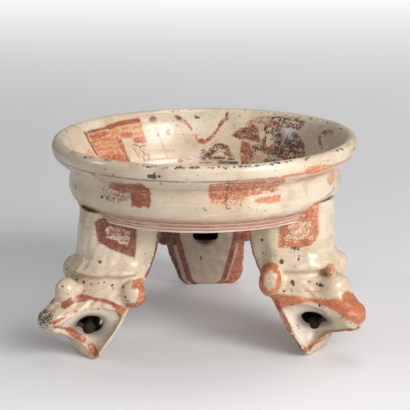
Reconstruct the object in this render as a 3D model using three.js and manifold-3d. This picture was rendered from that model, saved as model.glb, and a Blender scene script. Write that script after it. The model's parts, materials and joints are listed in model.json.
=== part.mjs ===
import * as THREE from 'three';
import { mergeVertices } from 'three/addons/utils/BufferGeometryUtils.js';
import Module from 'manifold-3d';

const wasm = await Module();
wasm.setup();

// Tripod bowl of slipped clay, in millimetres, with +Z up and the ground at Z = 0.
// A shallow dish with a ledge carries one broad wall coil and an everted rim coil. Three hollow legs
// stand under the ledge. Each is an animal's head: a brow, a nose, a snout and two ears are lumps of
// clay luted to the shell, a dished mouth opens on either side, and two loose pellets rattle inside.

// Left between two pieces that touch.
const seam = 0.3;

// The bowl, from the ledge up.
const ledgeRadius = 79.5;
const ledgeHeight = 83.5;
const dishDrop = 19;
const dishThickness = 6;
const wallThickness = 6.2;
const wallFoot = 1.2;
const shoulderOut = 5.6;
const shoulderRise = 12.3;
const neckIn = 0.9;
const neckRise = 7.2;
const coilRise = 4;
const lipOut = 10.8;
const lipRise = 14;
const lipThickness = 8;
const crestRise = 5;
const aroundBowl = 48;

// How the bowl's curves run, as shares of the sizes above. The dish rises from a flat middle, and the
// wall leans out evenly to its shoulder.
const undersideFlat = 0.52;
const floorFlat = 0.62;
const wallSet = 0.3;
const shoulderLead = 0.68;
// The rim coil's section, from its foot on the wall, out under the lip, over the crest and down inside.
// Foot points are shares of how far the lip stands out and up, crest points of its thickness and rise.
const rimUnder = [{ out: 0.3, up: 0.38 }, { out: 0.82, up: 0.66 }];
const rimCrest = [{ out: 0.12, up: 0.68 }, { out: 0.45, up: 1 }, { out: 0.8, up: 0.66 }, { out: 1.15, up: -0.2 }];
const rimInside = { out: 0.72, up: 0.4 };

// The legs. Each has an upright axis of its own, a little outside the ledge. Azimuth says where that
// axis stands, turn how far the head is turned on it, and stance how far the foot is set out. Tall
// stretches the leg, and ears are the heights of its left and right ear.
const legs = [
  { name: 'left', azimuth: 214, turn: 9, stance: 0, tall: 0.97, ears: [42, 46] },
  { name: 'right', azimuth: 324.5, turn: -10, stance: -8, tall: 1.03, ears: [46, 46] },
  { name: 'rear', azimuth: 90, turn: 0, stance: 0, tall: 1, ears: [40, 41] },
];
const legStand = 5.5;
const legRunUp = 7;
const headStep = 3.2;
const shaftStep = 7;
const stepsOnSide = 7;
const footRings = [0, 1.2, 3, 5.4, 8];
// Where the face's edge is broken, as a share of its width and bow.
const faceBreak = 0.6;

// Level sections of the leg, from the foot up, on the leg's own axis. Distances outwards: back is the
// flat inner panel, rim the widest line and front the face. The others are half widths: ridge at the
// panel's edge, wide at the rim and brink at the face's edge. Swell rounds the side between rim and
// face, and bow rounds the face.
const footSections = [
  { z: 0, back: 3, rim: 4.4, front: 7, ridge: 11, wide: 12.4, brink: 8, swell: 0.4, bow: 0.6 },
  { z: 2.5, back: 2, rim: 4.6, front: 8.6, ridge: 14, wide: 16.6, brink: 9, swell: 0.4, bow: 1 },
  { z: 8, back: 0, rim: 4.2, front: 10.6, ridge: 16.4, wide: 21, brink: 9.6, swell: 0, bow: 1.2 },
  { z: 13, back: -2, rim: 3, front: 13, ridge: 17.6, wide: 23.4, brink: 9.6, swell: 0, bow: 1.2 },
  { z: 19, back: -4.6, rim: 0.6, front: 19, ridge: 19, wide: 25.2, brink: 9.2, swell: 0, bow: 1.4 },
  { z: 25, back: -7.4, rim: -2.8, front: 24, ridge: 20.4, wide: 26.4, brink: 9.8, swell: 0, bow: 1.4 },
  { z: 31, back: -10.8, rim: -6.2, front: 19.5, ridge: 21.6, wide: 27, brink: 12, swell: 1, bow: 2 },
  { z: 38, back: -15.4, rim: -11, front: 12, ridge: 22.8, wide: 27.4, brink: 13.4, swell: 2.6, bow: 3 },
  { z: 47, back: -23, rim: -18.6, front: 5.6, ridge: 23.8, wide: 27.6, brink: 12.4, swell: 3.4, bow: 3 },
  { z: 58, back: -30.6, rim: -26, front: 0.6, ridge: 24.4, wide: 27.8, brink: 11, swell: 4, bow: 3 },
];
// The same, measured from the ledge's height.
const shaftSections = [
  { z: -12, back: -36, rim: -31, front: -0.6, ridge: 24.6, wide: 28, brink: 10.6, swell: 4.6, bow: 3 },
  { z: 0, back: -38.8, rim: -33.4, front: -1.6, ridge: 24.8, wide: 28.2, brink: 10.6, swell: 5, bow: 2 },
  { z: 7, back: -40, rim: -34.6, front: -2.6, ridge: 25, wide: 28.4, brink: 10.6, swell: 5, bow: 1.6 },
];

// The dished mouth, on the side of the leg: its corners as distance out and height, its depth, and
// how wide its slope is. Towards the front it ends at the face.
const mouthCorners = [
  { out: 6, up: 1 },
  { out: -5.5, up: 29.5 },
  { out: 9, up: 36 },
  { out: 37, up: 27 },
];
const mouthDepth = 5.4;
const mouthSlope = 8;

// The hole through the cheek, a funnel with an oval throat.
const cheekHole = { out: 10.4, up: 23 };
const cheekMouth = 17;
const cheekThroat = { long: 12.6, high: 8.4 };
const aroundCheekHole = 18;

// The hollow of the leg.
const shellWall = 3.8;
const hollowFloor = 13.5;
const hollowStep = 5.5;
const stepsInHollow = 6;

// The vent slot in the inner panel.
const slotWidth = 17;
const slotHeight = 8.6;
const slotBottom = 33;
const slotCorner = 3.4;
const slotReach = 1.6 * shellWall;
const slotDepth = 3 * shellWall;

// Lumps luted to the leg: centre outwards, to the side and up, and half sizes.
const earAt = { out: -11, side: 28 };
const earHalf = { out: 7.4, side: 7.6, up: 9 };
const noseAt = { out: 17, up: 45.4 };
const noseHalf = { out: 9, side: 8, up: 7 };
const aroundLump = 11;
const lumpRows = 8;

// The brow, a roll of clay laid across the face.
const browUp = 52;
const browReach = 9;
const browRadius = 3.6;
const browEnd = 0.35 * browRadius;
const browSteps = 8;
const aroundBrow = 8;

// The snout, a thick plate. Its stations run out from the face: half width at the top and bottom,
// and the heights of its top and bottom.
const snoutStations = [
  { out: 11, top: 42, bottom: 20, wideTop: 14, wideBottom: 9 },
  { out: 17, top: 40.6, bottom: 16.4, wideTop: 13, wideBottom: 9.4 },
  { out: 23, top: 38.6, bottom: 17, wideTop: 12.2, wideBottom: 9.4 },
  { out: 29, top: 36, bottom: 18.8, wideTop: 11, wideBottom: 9 },
  { out: 34.5, top: 33.4, bottom: 21, wideTop: 9, wideBottom: 7.6 },
  { out: 37.6, top: 30.6, bottom: 25.4, wideTop: 5, wideBottom: 4.4 },
];
// The snout's sides are pinched in at half height, and its section is a circle drawn out to a plate:
// the powers that its sine and cosine are raised to.
const snoutPinch = 0.22;
const snoutRisePower = 0.8;
const snoutWidePower = 0.5;
const snoutSteps = 7;
const aroundSnout = 12;

// The rattle pellets, side by side at the bottom of the hollow.
const pelletDiameter = 9;
const pelletGap = 0.5;

// Makes a closed mesh a solid. Shared points are merged, and faces turned out.
function solidOf(geometry) {
  const bare = geometry.clone();
  bare.deleteAttribute('normal');
  bare.deleteAttribute('uv');
  const merged = mergeVertices(bare, 1e-4);
  const points = merged.attributes.position.array;
  const corners = [];
  let volume = 0;
  for (let i = 0; i < merged.index.count; i += 3) {
    const [a, b, c] = merged.index.array.slice(i, i + 3);
    if (a === b || b === c || c === a) continue;
    corners.push(a, b, c);
    const [pa, pb, pc] = [a, b, c].map((k) => new THREE.Vector3().fromArray(points, 3 * k));
    volume += pa.dot(pb.cross(pc));
  }
  if (volume < 0) corners.reverse();
  return new wasm.Manifold(new wasm.Mesh({
    numProp: 3,
    vertProperties: new Float32Array(points),
    triVerts: new Uint32Array(corners),
  }));
}

function geometryOf(solid) {
  const mesh = solid.getMesh();
  const geometry = new THREE.BufferGeometry();
  geometry.setAttribute('position', new THREE.BufferAttribute(new Float32Array(mesh.vertProperties), 3));
  geometry.setIndex(Array.from(mesh.triVerts));
  geometry.computeVertexNormals();
  return geometry;
}

// Joins rings of equal count with side faces, and closes both ends flat.
function loft(rings) {
  const count = rings[0].length;
  const points = rings.flat();
  const faces = [];
  for (let r = 0; r + 1 < rings.length; r++) {
    for (let i = 0; i < count; i++) {
      const [a, b] = [r * count + i, r * count + ((i + 1) % count)];
      faces.push(a, b, b + count, a, b + count, a + count);
    }
  }
  for (const [ring, first, turn] of [[rings[0], 0, -1], [rings.at(-1), (rings.length - 1) * count, 1]]) {
    const middle = ring.reduce((sum, p) => sum.add(p), new THREE.Vector3()).divideScalar(count);
    points.push(middle);
    for (let i = 0; i < count; i++) {
      const [a, b] = [first + i, first + ((i + 1) % count)];
      faces.push(points.length - 1, turn > 0 ? a : b, turn > 0 ? b : a);
    }
  }
  const geometry = new THREE.BufferGeometry();
  geometry.setFromPoints(points);
  geometry.setIndex(faces);
  return geometry;
}

// Turns a profile of radius and height round the bowl's axis.
function turned(profile) {
  return new THREE.LatheGeometry(profile, aroundBowl).rotateX(Math.PI / 2);
}

const at = (radius, height) => new THREE.Vector2(radius, height);

// The outside of the bowl, as the lines that its three pieces share.
const shoulder = at(ledgeRadius + shoulderOut, ledgeHeight + shoulderRise);
const neck = at(shoulder.x - neckIn, shoulder.y + neckRise);
const coilJoint = at(neck.x + 0.5 * neckIn, neck.y + coilRise);
const wallJoint = at(ledgeRadius + wallSet * wallFoot, ledgeHeight + wallFoot);
const lip = at(neck.x + lipOut, coilJoint.y + lipRise);
const bowlInside = wallJoint.x - wallThickness;

const dishUnderside = new THREE.QuadraticBezierCurve(
  at(0, ledgeHeight - dishDrop),
  at(undersideFlat * ledgeRadius, ledgeHeight - dishDrop),
  at(ledgeRadius, ledgeHeight),
).getPoints(6);
const wallOutside = new THREE.SplineCurve([
  wallJoint,
  at(ledgeRadius + shoulderLead * shoulderOut, ledgeHeight + 0.5 * shoulderRise),
  shoulder,
  neck,
  coilJoint,
]).getPoints(8);

function dish() {
  const floor = new THREE.QuadraticBezierCurve(
    at(bowlInside, wallJoint.y),
    at(floorFlat * bowlInside, ledgeHeight - dishDrop + dishThickness),
    at(0, ledgeHeight - dishDrop + dishThickness),
  ).getPoints(6);
  return turned([...dishUnderside, wallJoint, ...floor]);
}

function wall() {
  const outside = wallOutside.map((p, i) => at(p.x, i === 0 ? p.y + seam : p.y));
  const inside = outside.map((p) => at(p.x - wallThickness, p.y)).reverse();
  return turned([...outside, ...inside, outside[0]]);
}

function rimCoil() {
  const foot = coilJoint.y + seam;
  const outside = new THREE.SplineCurve([
    at(coilJoint.x, foot),
    ...rimUnder.map(({ out, up }) => at(neck.x + out * lipOut, foot + up * lipRise)),
    lip,
    ...rimCrest.map(({ out, up }) => at(lip.x - out * lipThickness, lip.y + up * crestRise)),
    at(coilJoint.x - rimInside.out * wallThickness, foot + rimInside.up * lipRise),
    at(coilJoint.x - wallThickness, foot),
  ]).getPoints(15);
  return turned([...outside, outside[0]]);
}

// The bowl as one block with its outside let out by a gap, which cuts what is luted under it.
function bowlBlock(gap) {
  const line = [...dishUnderside, ...wallOutside];
  const outset = line.map((p, i) => {
    const before = line[Math.max(i - 1, 0)];
    const along = line[Math.min(i + 1, line.length - 1)].clone().sub(before).normalize();
    return at(i === 0 ? 0 : p.x + along.y * gap, p.y - along.x * gap);
  });
  return turned([...outset, at(0, outset.at(-1).y)]);
}

// The sections of a leg, in one list from the ground up.
const sections = [...footSections, ...shaftSections.map((s) => ({ ...s, z: s.z + ledgeHeight }))];

// One value of the leg at a height, on a smooth curve through the sections.
function legValue(key, z) {
  let k = 0;
  while (k < sections.length - 2 && sections[k + 1].z < z) k++;
  const [p, q] = [sections[k], sections[k + 1]];
  const [o, r] = [sections[Math.max(k - 1, 0)], sections[Math.min(k + 2, sections.length - 1)]];
  const run = q.z - p.z;
  const t = Math.min(Math.max((z - p.z) / run, 0), 1);
  const slopeP = (q[key] - o[key]) / (q.z - o.z) * run;
  const slopeQ = (r[key] - p[key]) / (r.z - p.z) * run;
  return (2 * t ** 3 - 3 * t ** 2 + 1) * p[key] + (t ** 3 - 2 * t ** 2 + t) * slopeP
    + (3 * t ** 2 - 2 * t ** 3) * q[key] + (t ** 3 - t ** 2) * slopeQ;
}

// How deep the mouth is dished at a point on the leg's side.
function mouthDepthAt(out, up) {
  let inside = legValue('front', up) - out;
  for (let i = 0; i + 1 < mouthCorners.length; i++) {
    const [a, b] = [mouthCorners[i], mouthCorners[i + 1]];
    const side = (b.up - a.up) * (out - a.out) - (b.out - a.out) * (up - a.up);
    inside = Math.min(inside, side / Math.hypot(b.out - a.out, b.up - a.up));
  }
  return mouthDepth * THREE.MathUtils.smoothstep(inside, 0, mouthSlope);
}

// Half the leg's width at a distance out from its axis.
function halfWidth(out, z) {
  const [back, rim, front] = ['back', 'rim', 'front'].map((key) => legValue(key, z));
  const [ridge, wide, brink] = ['ridge', 'wide', 'brink'].map((key) => legValue(key, z));
  if (out < rim) return THREE.MathUtils.mapLinear(out, back, rim, ridge, wide);
  const t = (out - rim) / (front - rim);
  const swell = 4 * legValue('swell', z) * t * (1 - t);
  return THREE.MathUtils.lerp(wide, brink, t) + swell - mouthDepthAt(out, z);
}

// A level ring of the leg's outside, let out by a gap.
function legRing(z, gap) {
  const [back, rim, front] = ['back', 'rim', 'front'].map((key) => legValue(key, z));
  const [ridge, brink, bow] = ['ridge', 'brink', 'bow'].map((key) => legValue(key, z));
  const half = [[back - gap, ridge + gap]];
  for (let i = 0; i <= stepsOnSide; i++) {
    const out = THREE.MathUtils.lerp(rim, front, i / stepsOnSide);
    half.push([out, halfWidth(out, z) + gap]);
  }
  half.push([front + gap + faceBreak * bow, faceBreak * brink]);
  const left = half.map(([out, side]) => new THREE.Vector3(out, side, z));
  const right = half.map(([out, side]) => new THREE.Vector3(out, -side, z)).reverse();
  return [...left, new THREE.Vector3(front + gap + bow, 0, z), ...right];
}

// Heights of the rings, closer together in the head than in the shaft.
function legHeights(from, to, step) {
  const neckHeight = browUp + browRadius;
  const even = (low, high, stride) => {
    const count = Math.max(Math.round((high - low) / stride), 1);
    return Array.from({ length: count }, (_, i) => low + (high - low) * i / count);
  };
  return [...even(from, neckHeight, step), ...even(neckHeight, to, shaftStep), to];
}

const legTop = ledgeHeight + legRunUp;

function legBlock(gap) {
  const heights = [...footRings.slice(0, -1), ...legHeights(footRings.at(-1), legTop, headStep)];
  return loft(heights.map((z) => legRing(z, gap)));
}

// The hollow follows the outside one wall further in, and runs out through the leg's top.
function legHollow() {
  return loft(legHeights(hollowFloor, legTop + shellWall, hollowStep).map((z) => {
    const from = legValue('back', z) + shellWall;
    const to = legValue('front', z) - shellWall;
    const half = [];
    for (let i = 0; i <= stepsInHollow; i++) {
      const out = THREE.MathUtils.lerp(from, to, i / stepsInHollow);
      half.push([out, halfWidth(out, z) - shellWall]);
    }
    const left = half.map(([out, side]) => new THREE.Vector3(out, side, z));
    return [...left, ...half.map(([out, side]) => new THREE.Vector3(out, -side, z)).reverse()];
  }));
}

// A funnel through the cheek on one side, square to the cheek and wide at its outside.
function cheekFunnel(side) {
  const { out, up } = cheekHole;
  const slant = Math.atan2(halfWidth(out - 1, up) - halfWidth(out + 1, up), 2);
  const flare = cheekMouth / cheekThroat.long;
  const cone = new THREE.CylinderGeometry(flare - 0.5, 0.5, 2 * shellWall, aroundCheekHole);
  cone.scale(cheekThroat.long, 1, cheekThroat.high);
  if (side < 0) cone.rotateX(Math.PI);
  cone.rotateZ(-side * slant);
  return cone.translate(out, side * halfWidth(out, up), up);
}

// The vent slot, a rounded letter-box opening through the inner panel.
function ventSlot() {
  const half = 0.5 * slotWidth;
  const outline = new THREE.Shape();
  outline.moveTo(-half, slotHeight);
  outline.lineTo(-half, slotCorner);
  outline.quadraticCurveTo(-half, 0, slotCorner - half, 0);
  outline.lineTo(half - slotCorner, 0);
  outline.quadraticCurveTo(half, 0, half, slotCorner);
  outline.lineTo(half, slotHeight);
  const slot = new THREE.ExtrudeGeometry(outline, { depth: slotDepth, bevelEnabled: false, curveSegments: 4 });
  slot.rotateX(Math.PI / 2).rotateZ(Math.PI / 2);
  return slot.translate(legValue('back', slotBottom) + slotReach - slotDepth, 0, slotBottom);
}

function lump(place, half, gap, side) {
  const ball = new THREE.SphereGeometry(1, aroundLump, lumpRows);
  ball.scale(half.out + gap, half.side + gap, half.up + gap);
  return ball.translate(place.out, side * (place.side ?? 0), place.up);
}

// The brow follows the face round from cheek to cheek, and thins out to its ends.
function browBlock(gap) {
  const face = legRing(browUp, 0).filter((p) => p.x > legValue('rim', browUp) + browReach);
  const path = new THREE.CatmullRomCurve3(face);
  const rings = [];
  for (let i = 0; i <= browSteps; i++) {
    const t = i / browSteps;
    const middle = path.getPointAt(t);
    const along = path.getTangentAt(t);
    const radius = THREE.MathUtils.lerp(browEnd, browRadius, Math.sin(Math.PI * t)) + gap;
    const ring = [];
    for (let k = 0; k < aroundBrow; k++) {
      const angle = 2 * Math.PI * k / aroundBrow;
      const [c, s] = [radius * Math.cos(angle), radius * Math.sin(angle)];
      ring.push(new THREE.Vector3(middle.x + along.y * c, middle.y - along.x * c, middle.z + s));
    }
    rings.push(ring);
  }
  return loft(rings);
}

// The snout as a loft of rounded sections that run out from the face.
function snoutBlock() {
  const curve = (key) => new THREE.SplineCurve(snoutStations.map((s) => at(s.out, s[key])));
  const [top, bottom] = [curve('top'), curve('bottom')];
  const [wideTop, wideBottom] = [curve('wideTop'), curve('wideBottom')];
  const rings = [];
  for (let i = 0; i <= snoutSteps; i++) {
    const t = i / snoutSteps;
    const out = top.getPoint(t).x;
    const [high, low] = [top.getPoint(t).y, bottom.getPoint(t).y];
    const ring = [];
    for (let k = 0; k < aroundSnout; k++) {
      const angle = 2 * Math.PI * k / aroundSnout;
      const [c, s] = [Math.cos(angle), Math.sin(angle)];
      const rise = Math.sign(s) * Math.abs(s) ** snoutRisePower;
      const wide = THREE.MathUtils.mapLinear(rise, -1, 1, wideBottom.getPoint(t).y, wideTop.getPoint(t).y);
      const across = Math.sign(c) * Math.abs(c) ** snoutWidePower;
      const side = across * wide * (1 - snoutPinch * (1 - rise * rise));
      ring.push(new THREE.Vector3(out, side, 0.5 * (high + low) + 0.5 * rise * (high - low)));
    }
    rings.push(ring);
  }
  return loft(rings);
}

// What the legs share is made once.
const legCutter = solidOf(legBlock(seam));
const legShell = [legHollow(), cheekFunnel(1), cheekFunnel(-1), ventSlot()].reduce(
  (solid, cut) => solid.subtract(solidOf(cut)),
  solidOf(legBlock(0)),
);
const brow = solidOf(browBlock(0)).subtract(legCutter);
const nose = solidOf(lump(noseAt, noseHalf, 0, 0)).subtract(legCutter).subtract(solidOf(browBlock(seam)));
const snout = solidOf(snoutBlock())
  .subtract(legCutter)
  .subtract(solidOf(lump(noseAt, noseHalf, seam, 0)));

const cream = 0xe1d4be;
const orange = 0xbe5f37;
const buff = 0xb98f6c;

function piece(name, geometry, colour, roughness) {
  const material = new THREE.MeshStandardMaterial({ color: colour, roughness, metalness: 0 });
  const mesh = new THREE.Mesh(geometry, material);
  mesh.name = name;
  return mesh;
}

// A leg, built on its own axis. Its stance slants it, foot first, and the bowl over it cuts its top to
// the underside of the dish.
function leg({ name, azimuth, turn, stance, tall, ears }) {
  const group = new THREE.Group();
  const slant = new THREE.Matrix4().set(
    1, 0, -tall * stance / ledgeHeight, stance,
    0, 1, 0, 0,
    0, 0, tall, 0,
    0, 0, 0, 1,
  );
  const slanted = (solid) => solidOf(geometryOf(solid).applyMatrix4(slant));
  const add = (part, solid, colour) => {
    group.add(piece(`${name}_leg_${part}`, geometryOf(solid), colour, 0.45));
  };
  const stand = ledgeRadius + legStand;
  const angle = THREE.MathUtils.degToRad(turn);
  const bowlOver = bowlBlock(seam).translate(-stand * Math.cos(angle), stand * Math.sin(angle), 0);
  add('shell', slanted(legShell).subtract(solidOf(bowlOver)), cream);
  add('snout', slanted(snout), orange);
  add('nose', slanted(nose), cream);
  const ear = (side, gap) => lump({ ...earAt, up: ears[side > 0 ? 0 : 1] }, earHalf, gap, side);
  const browEnds = solidOf(ear(1, seam)).add(solidOf(ear(-1, seam)));
  add('brow', slanted(brow.subtract(browEnds)), cream);
  add('ear_l', slanted(solidOf(ear(1, 0)).subtract(legCutter)), orange);
  add('ear_r', slanted(solidOf(ear(-1, 0)).subtract(legCutter)), orange);
  const pelletRadius = 0.5 * pelletDiameter;
  const pelletUp = tall * hollowFloor + pelletRadius + pelletGap;
  const wallOut = legValue('back', pelletUp / tall - 0.5 * pelletRadius) + shellWall;
  const pelletOut = wallOut + pelletRadius + pelletGap + stance * (1 - pelletUp / ledgeHeight);
  [1, -1].forEach((side, i) => {
    const pellet = new THREE.SphereGeometry(pelletRadius, 9, 6);
    pellet.translate(pelletOut, side * (pelletRadius + 0.5 * pelletGap), pelletUp);
    group.add(piece(`${name}_leg_pellet_${i + 1}`, geometryOf(solidOf(pellet)), buff, 0.9));
  });
  group.position.x = stand;
  group.rotation.z = angle;
  const swung = new THREE.Group();
  swung.add(group);
  swung.rotation.z = THREE.MathUtils.degToRad(azimuth);
  return swung;
}

const bowl = new THREE.Group();
bowl.add(piece('bowl_base', geometryOf(solidOf(dish())), cream, 0.45));
bowl.add(piece('bowl_wall', geometryOf(solidOf(wall())), cream, 0.45));
bowl.add(piece('rim_coil', geometryOf(solidOf(rimCoil())), cream, 0.4));
for (const each of legs) bowl.add(leg(each));

// The origin lies on the ground, under the middle of the whole outline.
const part = new THREE.Group();
part.name = 'tripod_bowl';
part.add(bowl);
part.updateMatrixWorld(true);
const box = new THREE.Box3().setFromObject(part, true);
const middle = box.getCenter(new THREE.Vector3());
bowl.position.set(-middle.x, -middle.y, -box.min.z);

export default part;
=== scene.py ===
import json
import math

import bmesh
import bpy
import numpy as np
import openvdb
from mathutils import Matrix, Vector

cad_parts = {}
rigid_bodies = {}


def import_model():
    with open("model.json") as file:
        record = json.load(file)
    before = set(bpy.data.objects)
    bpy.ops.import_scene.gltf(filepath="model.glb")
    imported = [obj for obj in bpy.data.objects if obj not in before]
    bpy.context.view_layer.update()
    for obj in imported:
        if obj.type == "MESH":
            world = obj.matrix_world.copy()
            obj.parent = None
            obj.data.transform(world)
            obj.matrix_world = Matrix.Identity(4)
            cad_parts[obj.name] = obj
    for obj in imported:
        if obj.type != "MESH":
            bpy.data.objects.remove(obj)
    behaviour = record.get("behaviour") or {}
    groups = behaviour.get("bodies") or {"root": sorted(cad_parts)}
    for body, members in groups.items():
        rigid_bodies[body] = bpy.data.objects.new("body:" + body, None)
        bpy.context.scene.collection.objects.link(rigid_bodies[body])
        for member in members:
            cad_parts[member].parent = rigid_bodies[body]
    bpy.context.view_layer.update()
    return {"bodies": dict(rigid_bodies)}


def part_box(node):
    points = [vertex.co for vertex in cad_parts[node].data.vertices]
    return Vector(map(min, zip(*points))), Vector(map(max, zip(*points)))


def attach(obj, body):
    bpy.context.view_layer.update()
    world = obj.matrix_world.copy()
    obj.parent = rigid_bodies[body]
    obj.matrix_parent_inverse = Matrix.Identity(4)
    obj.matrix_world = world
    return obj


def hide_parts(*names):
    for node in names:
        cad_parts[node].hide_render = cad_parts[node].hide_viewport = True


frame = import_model()

# The bowl. It is a shallow moulded dish with one broad wall coil and an everted rim coil, luted
# together, scraped and burnished into one skin of clay. The wall turns round one axis and wobbles a
# little, as hand-built pots do.

MM = 0.001

# The profile in millimetres of radius and height, from the middle of the underside, over the rim, to
# the middle of the floor.
UNDERSIDE = [(0, 67.0), (20, 68.2), (41, 72.9), (60, 78.2), (73, 81.7)]
BAND = [(78.6, 82.9), (79.5, 83.7), (80.2, 85.6), (81.4, 88.2), (83.3, 91.0)]
WALL_OUTSIDE = [(84.7, 94.2), (85.1, 97.0), (84.6, 101), (84.1, 104.5), (84.6, 108), (85.5, 109.9)]
LIP = [(86.3, 110.1), (88.2, 110.9), (91.2, 113.3), (93.7, 116.3), (94.7, 119.4), (94.7, 122.0),
       (93.6, 124.4), (91.5, 125.5), (89.2, 125.0), (86.8, 122.9)]
INSIDE = [(84.0, 118.2), (82.6, 114.9), (81.4, 111.5), (80.4, 108), (79.6, 104.5), (79.0, 101.2), (78.5, 98),
          (77.9, 95.1), (77.2, 92.2), (74.8, 88.6), (68.5, 85.4), (57, 81.6), (40, 77.0), (20, 73.6),
          (0, 72.6)]
PROFILE = UNDERSIDE + BAND + WALL_OUTSIDE + LIP + INSIDE
AROUND = 470
STEPS = 5
WOBBLE = 0.9
DENT_DEPTH = 0.35
DENT_RADIUS = 1.5

rim_low, rim_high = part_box("rim_coil")
bowl_axis = np.array([0.5 * (rim_low.x + rim_high.x), 0.5 * (rim_low.y + rim_high.y)]) / MM


def add(tree, kind, inputs=None, **settings):
    """A node with its settings, and with values or links on its inputs."""
    made = tree.nodes.new(kind)
    for name, value in settings.items():
        setattr(made, name, value)
    for socket, value in (inputs or {}).items():
        if isinstance(value, bpy.types.NodeSocket):
            tree.links.new(value, made.inputs[socket])
        else:
            made.inputs[socket].default_value = value
    return made


def arithmetic(tree, operation, *values, clamp=False):
    """A math node's output."""
    made = add(tree, "ShaderNodeMath", dict(enumerate(values)), operation=operation)
    made.use_clamp = clamp
    return made.outputs[0]


def times(tree, a, b):
    return arithmetic(tree, "MULTIPLY", a, b)


def plus(tree, a, b, clamp=False):
    return arithmetic(tree, "ADD", a, b, clamp=clamp)


def minus(tree, a, b):
    return arithmetic(tree, "SUBTRACT", a, b)


def mesh_object(name, points, faces):
    """An object at the origin whose mesh has these points, in millimetres."""
    mesh = bpy.data.meshes.new(name)
    mesh.from_pydata([tuple(p) for p in np.asarray(points) * MM], [], faces)
    mesh.validate()
    made = bpy.data.objects.new(name, mesh)
    bpy.context.scene.collection.objects.link(made)
    return made


def points_of(made):
    """The places of a mesh's points, in millimetres."""
    flat = np.zeros(3 * len(made.data.vertices))
    made.data.vertices.foreach_get("co", flat)
    return flat.reshape(-1, 3) / MM


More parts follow.
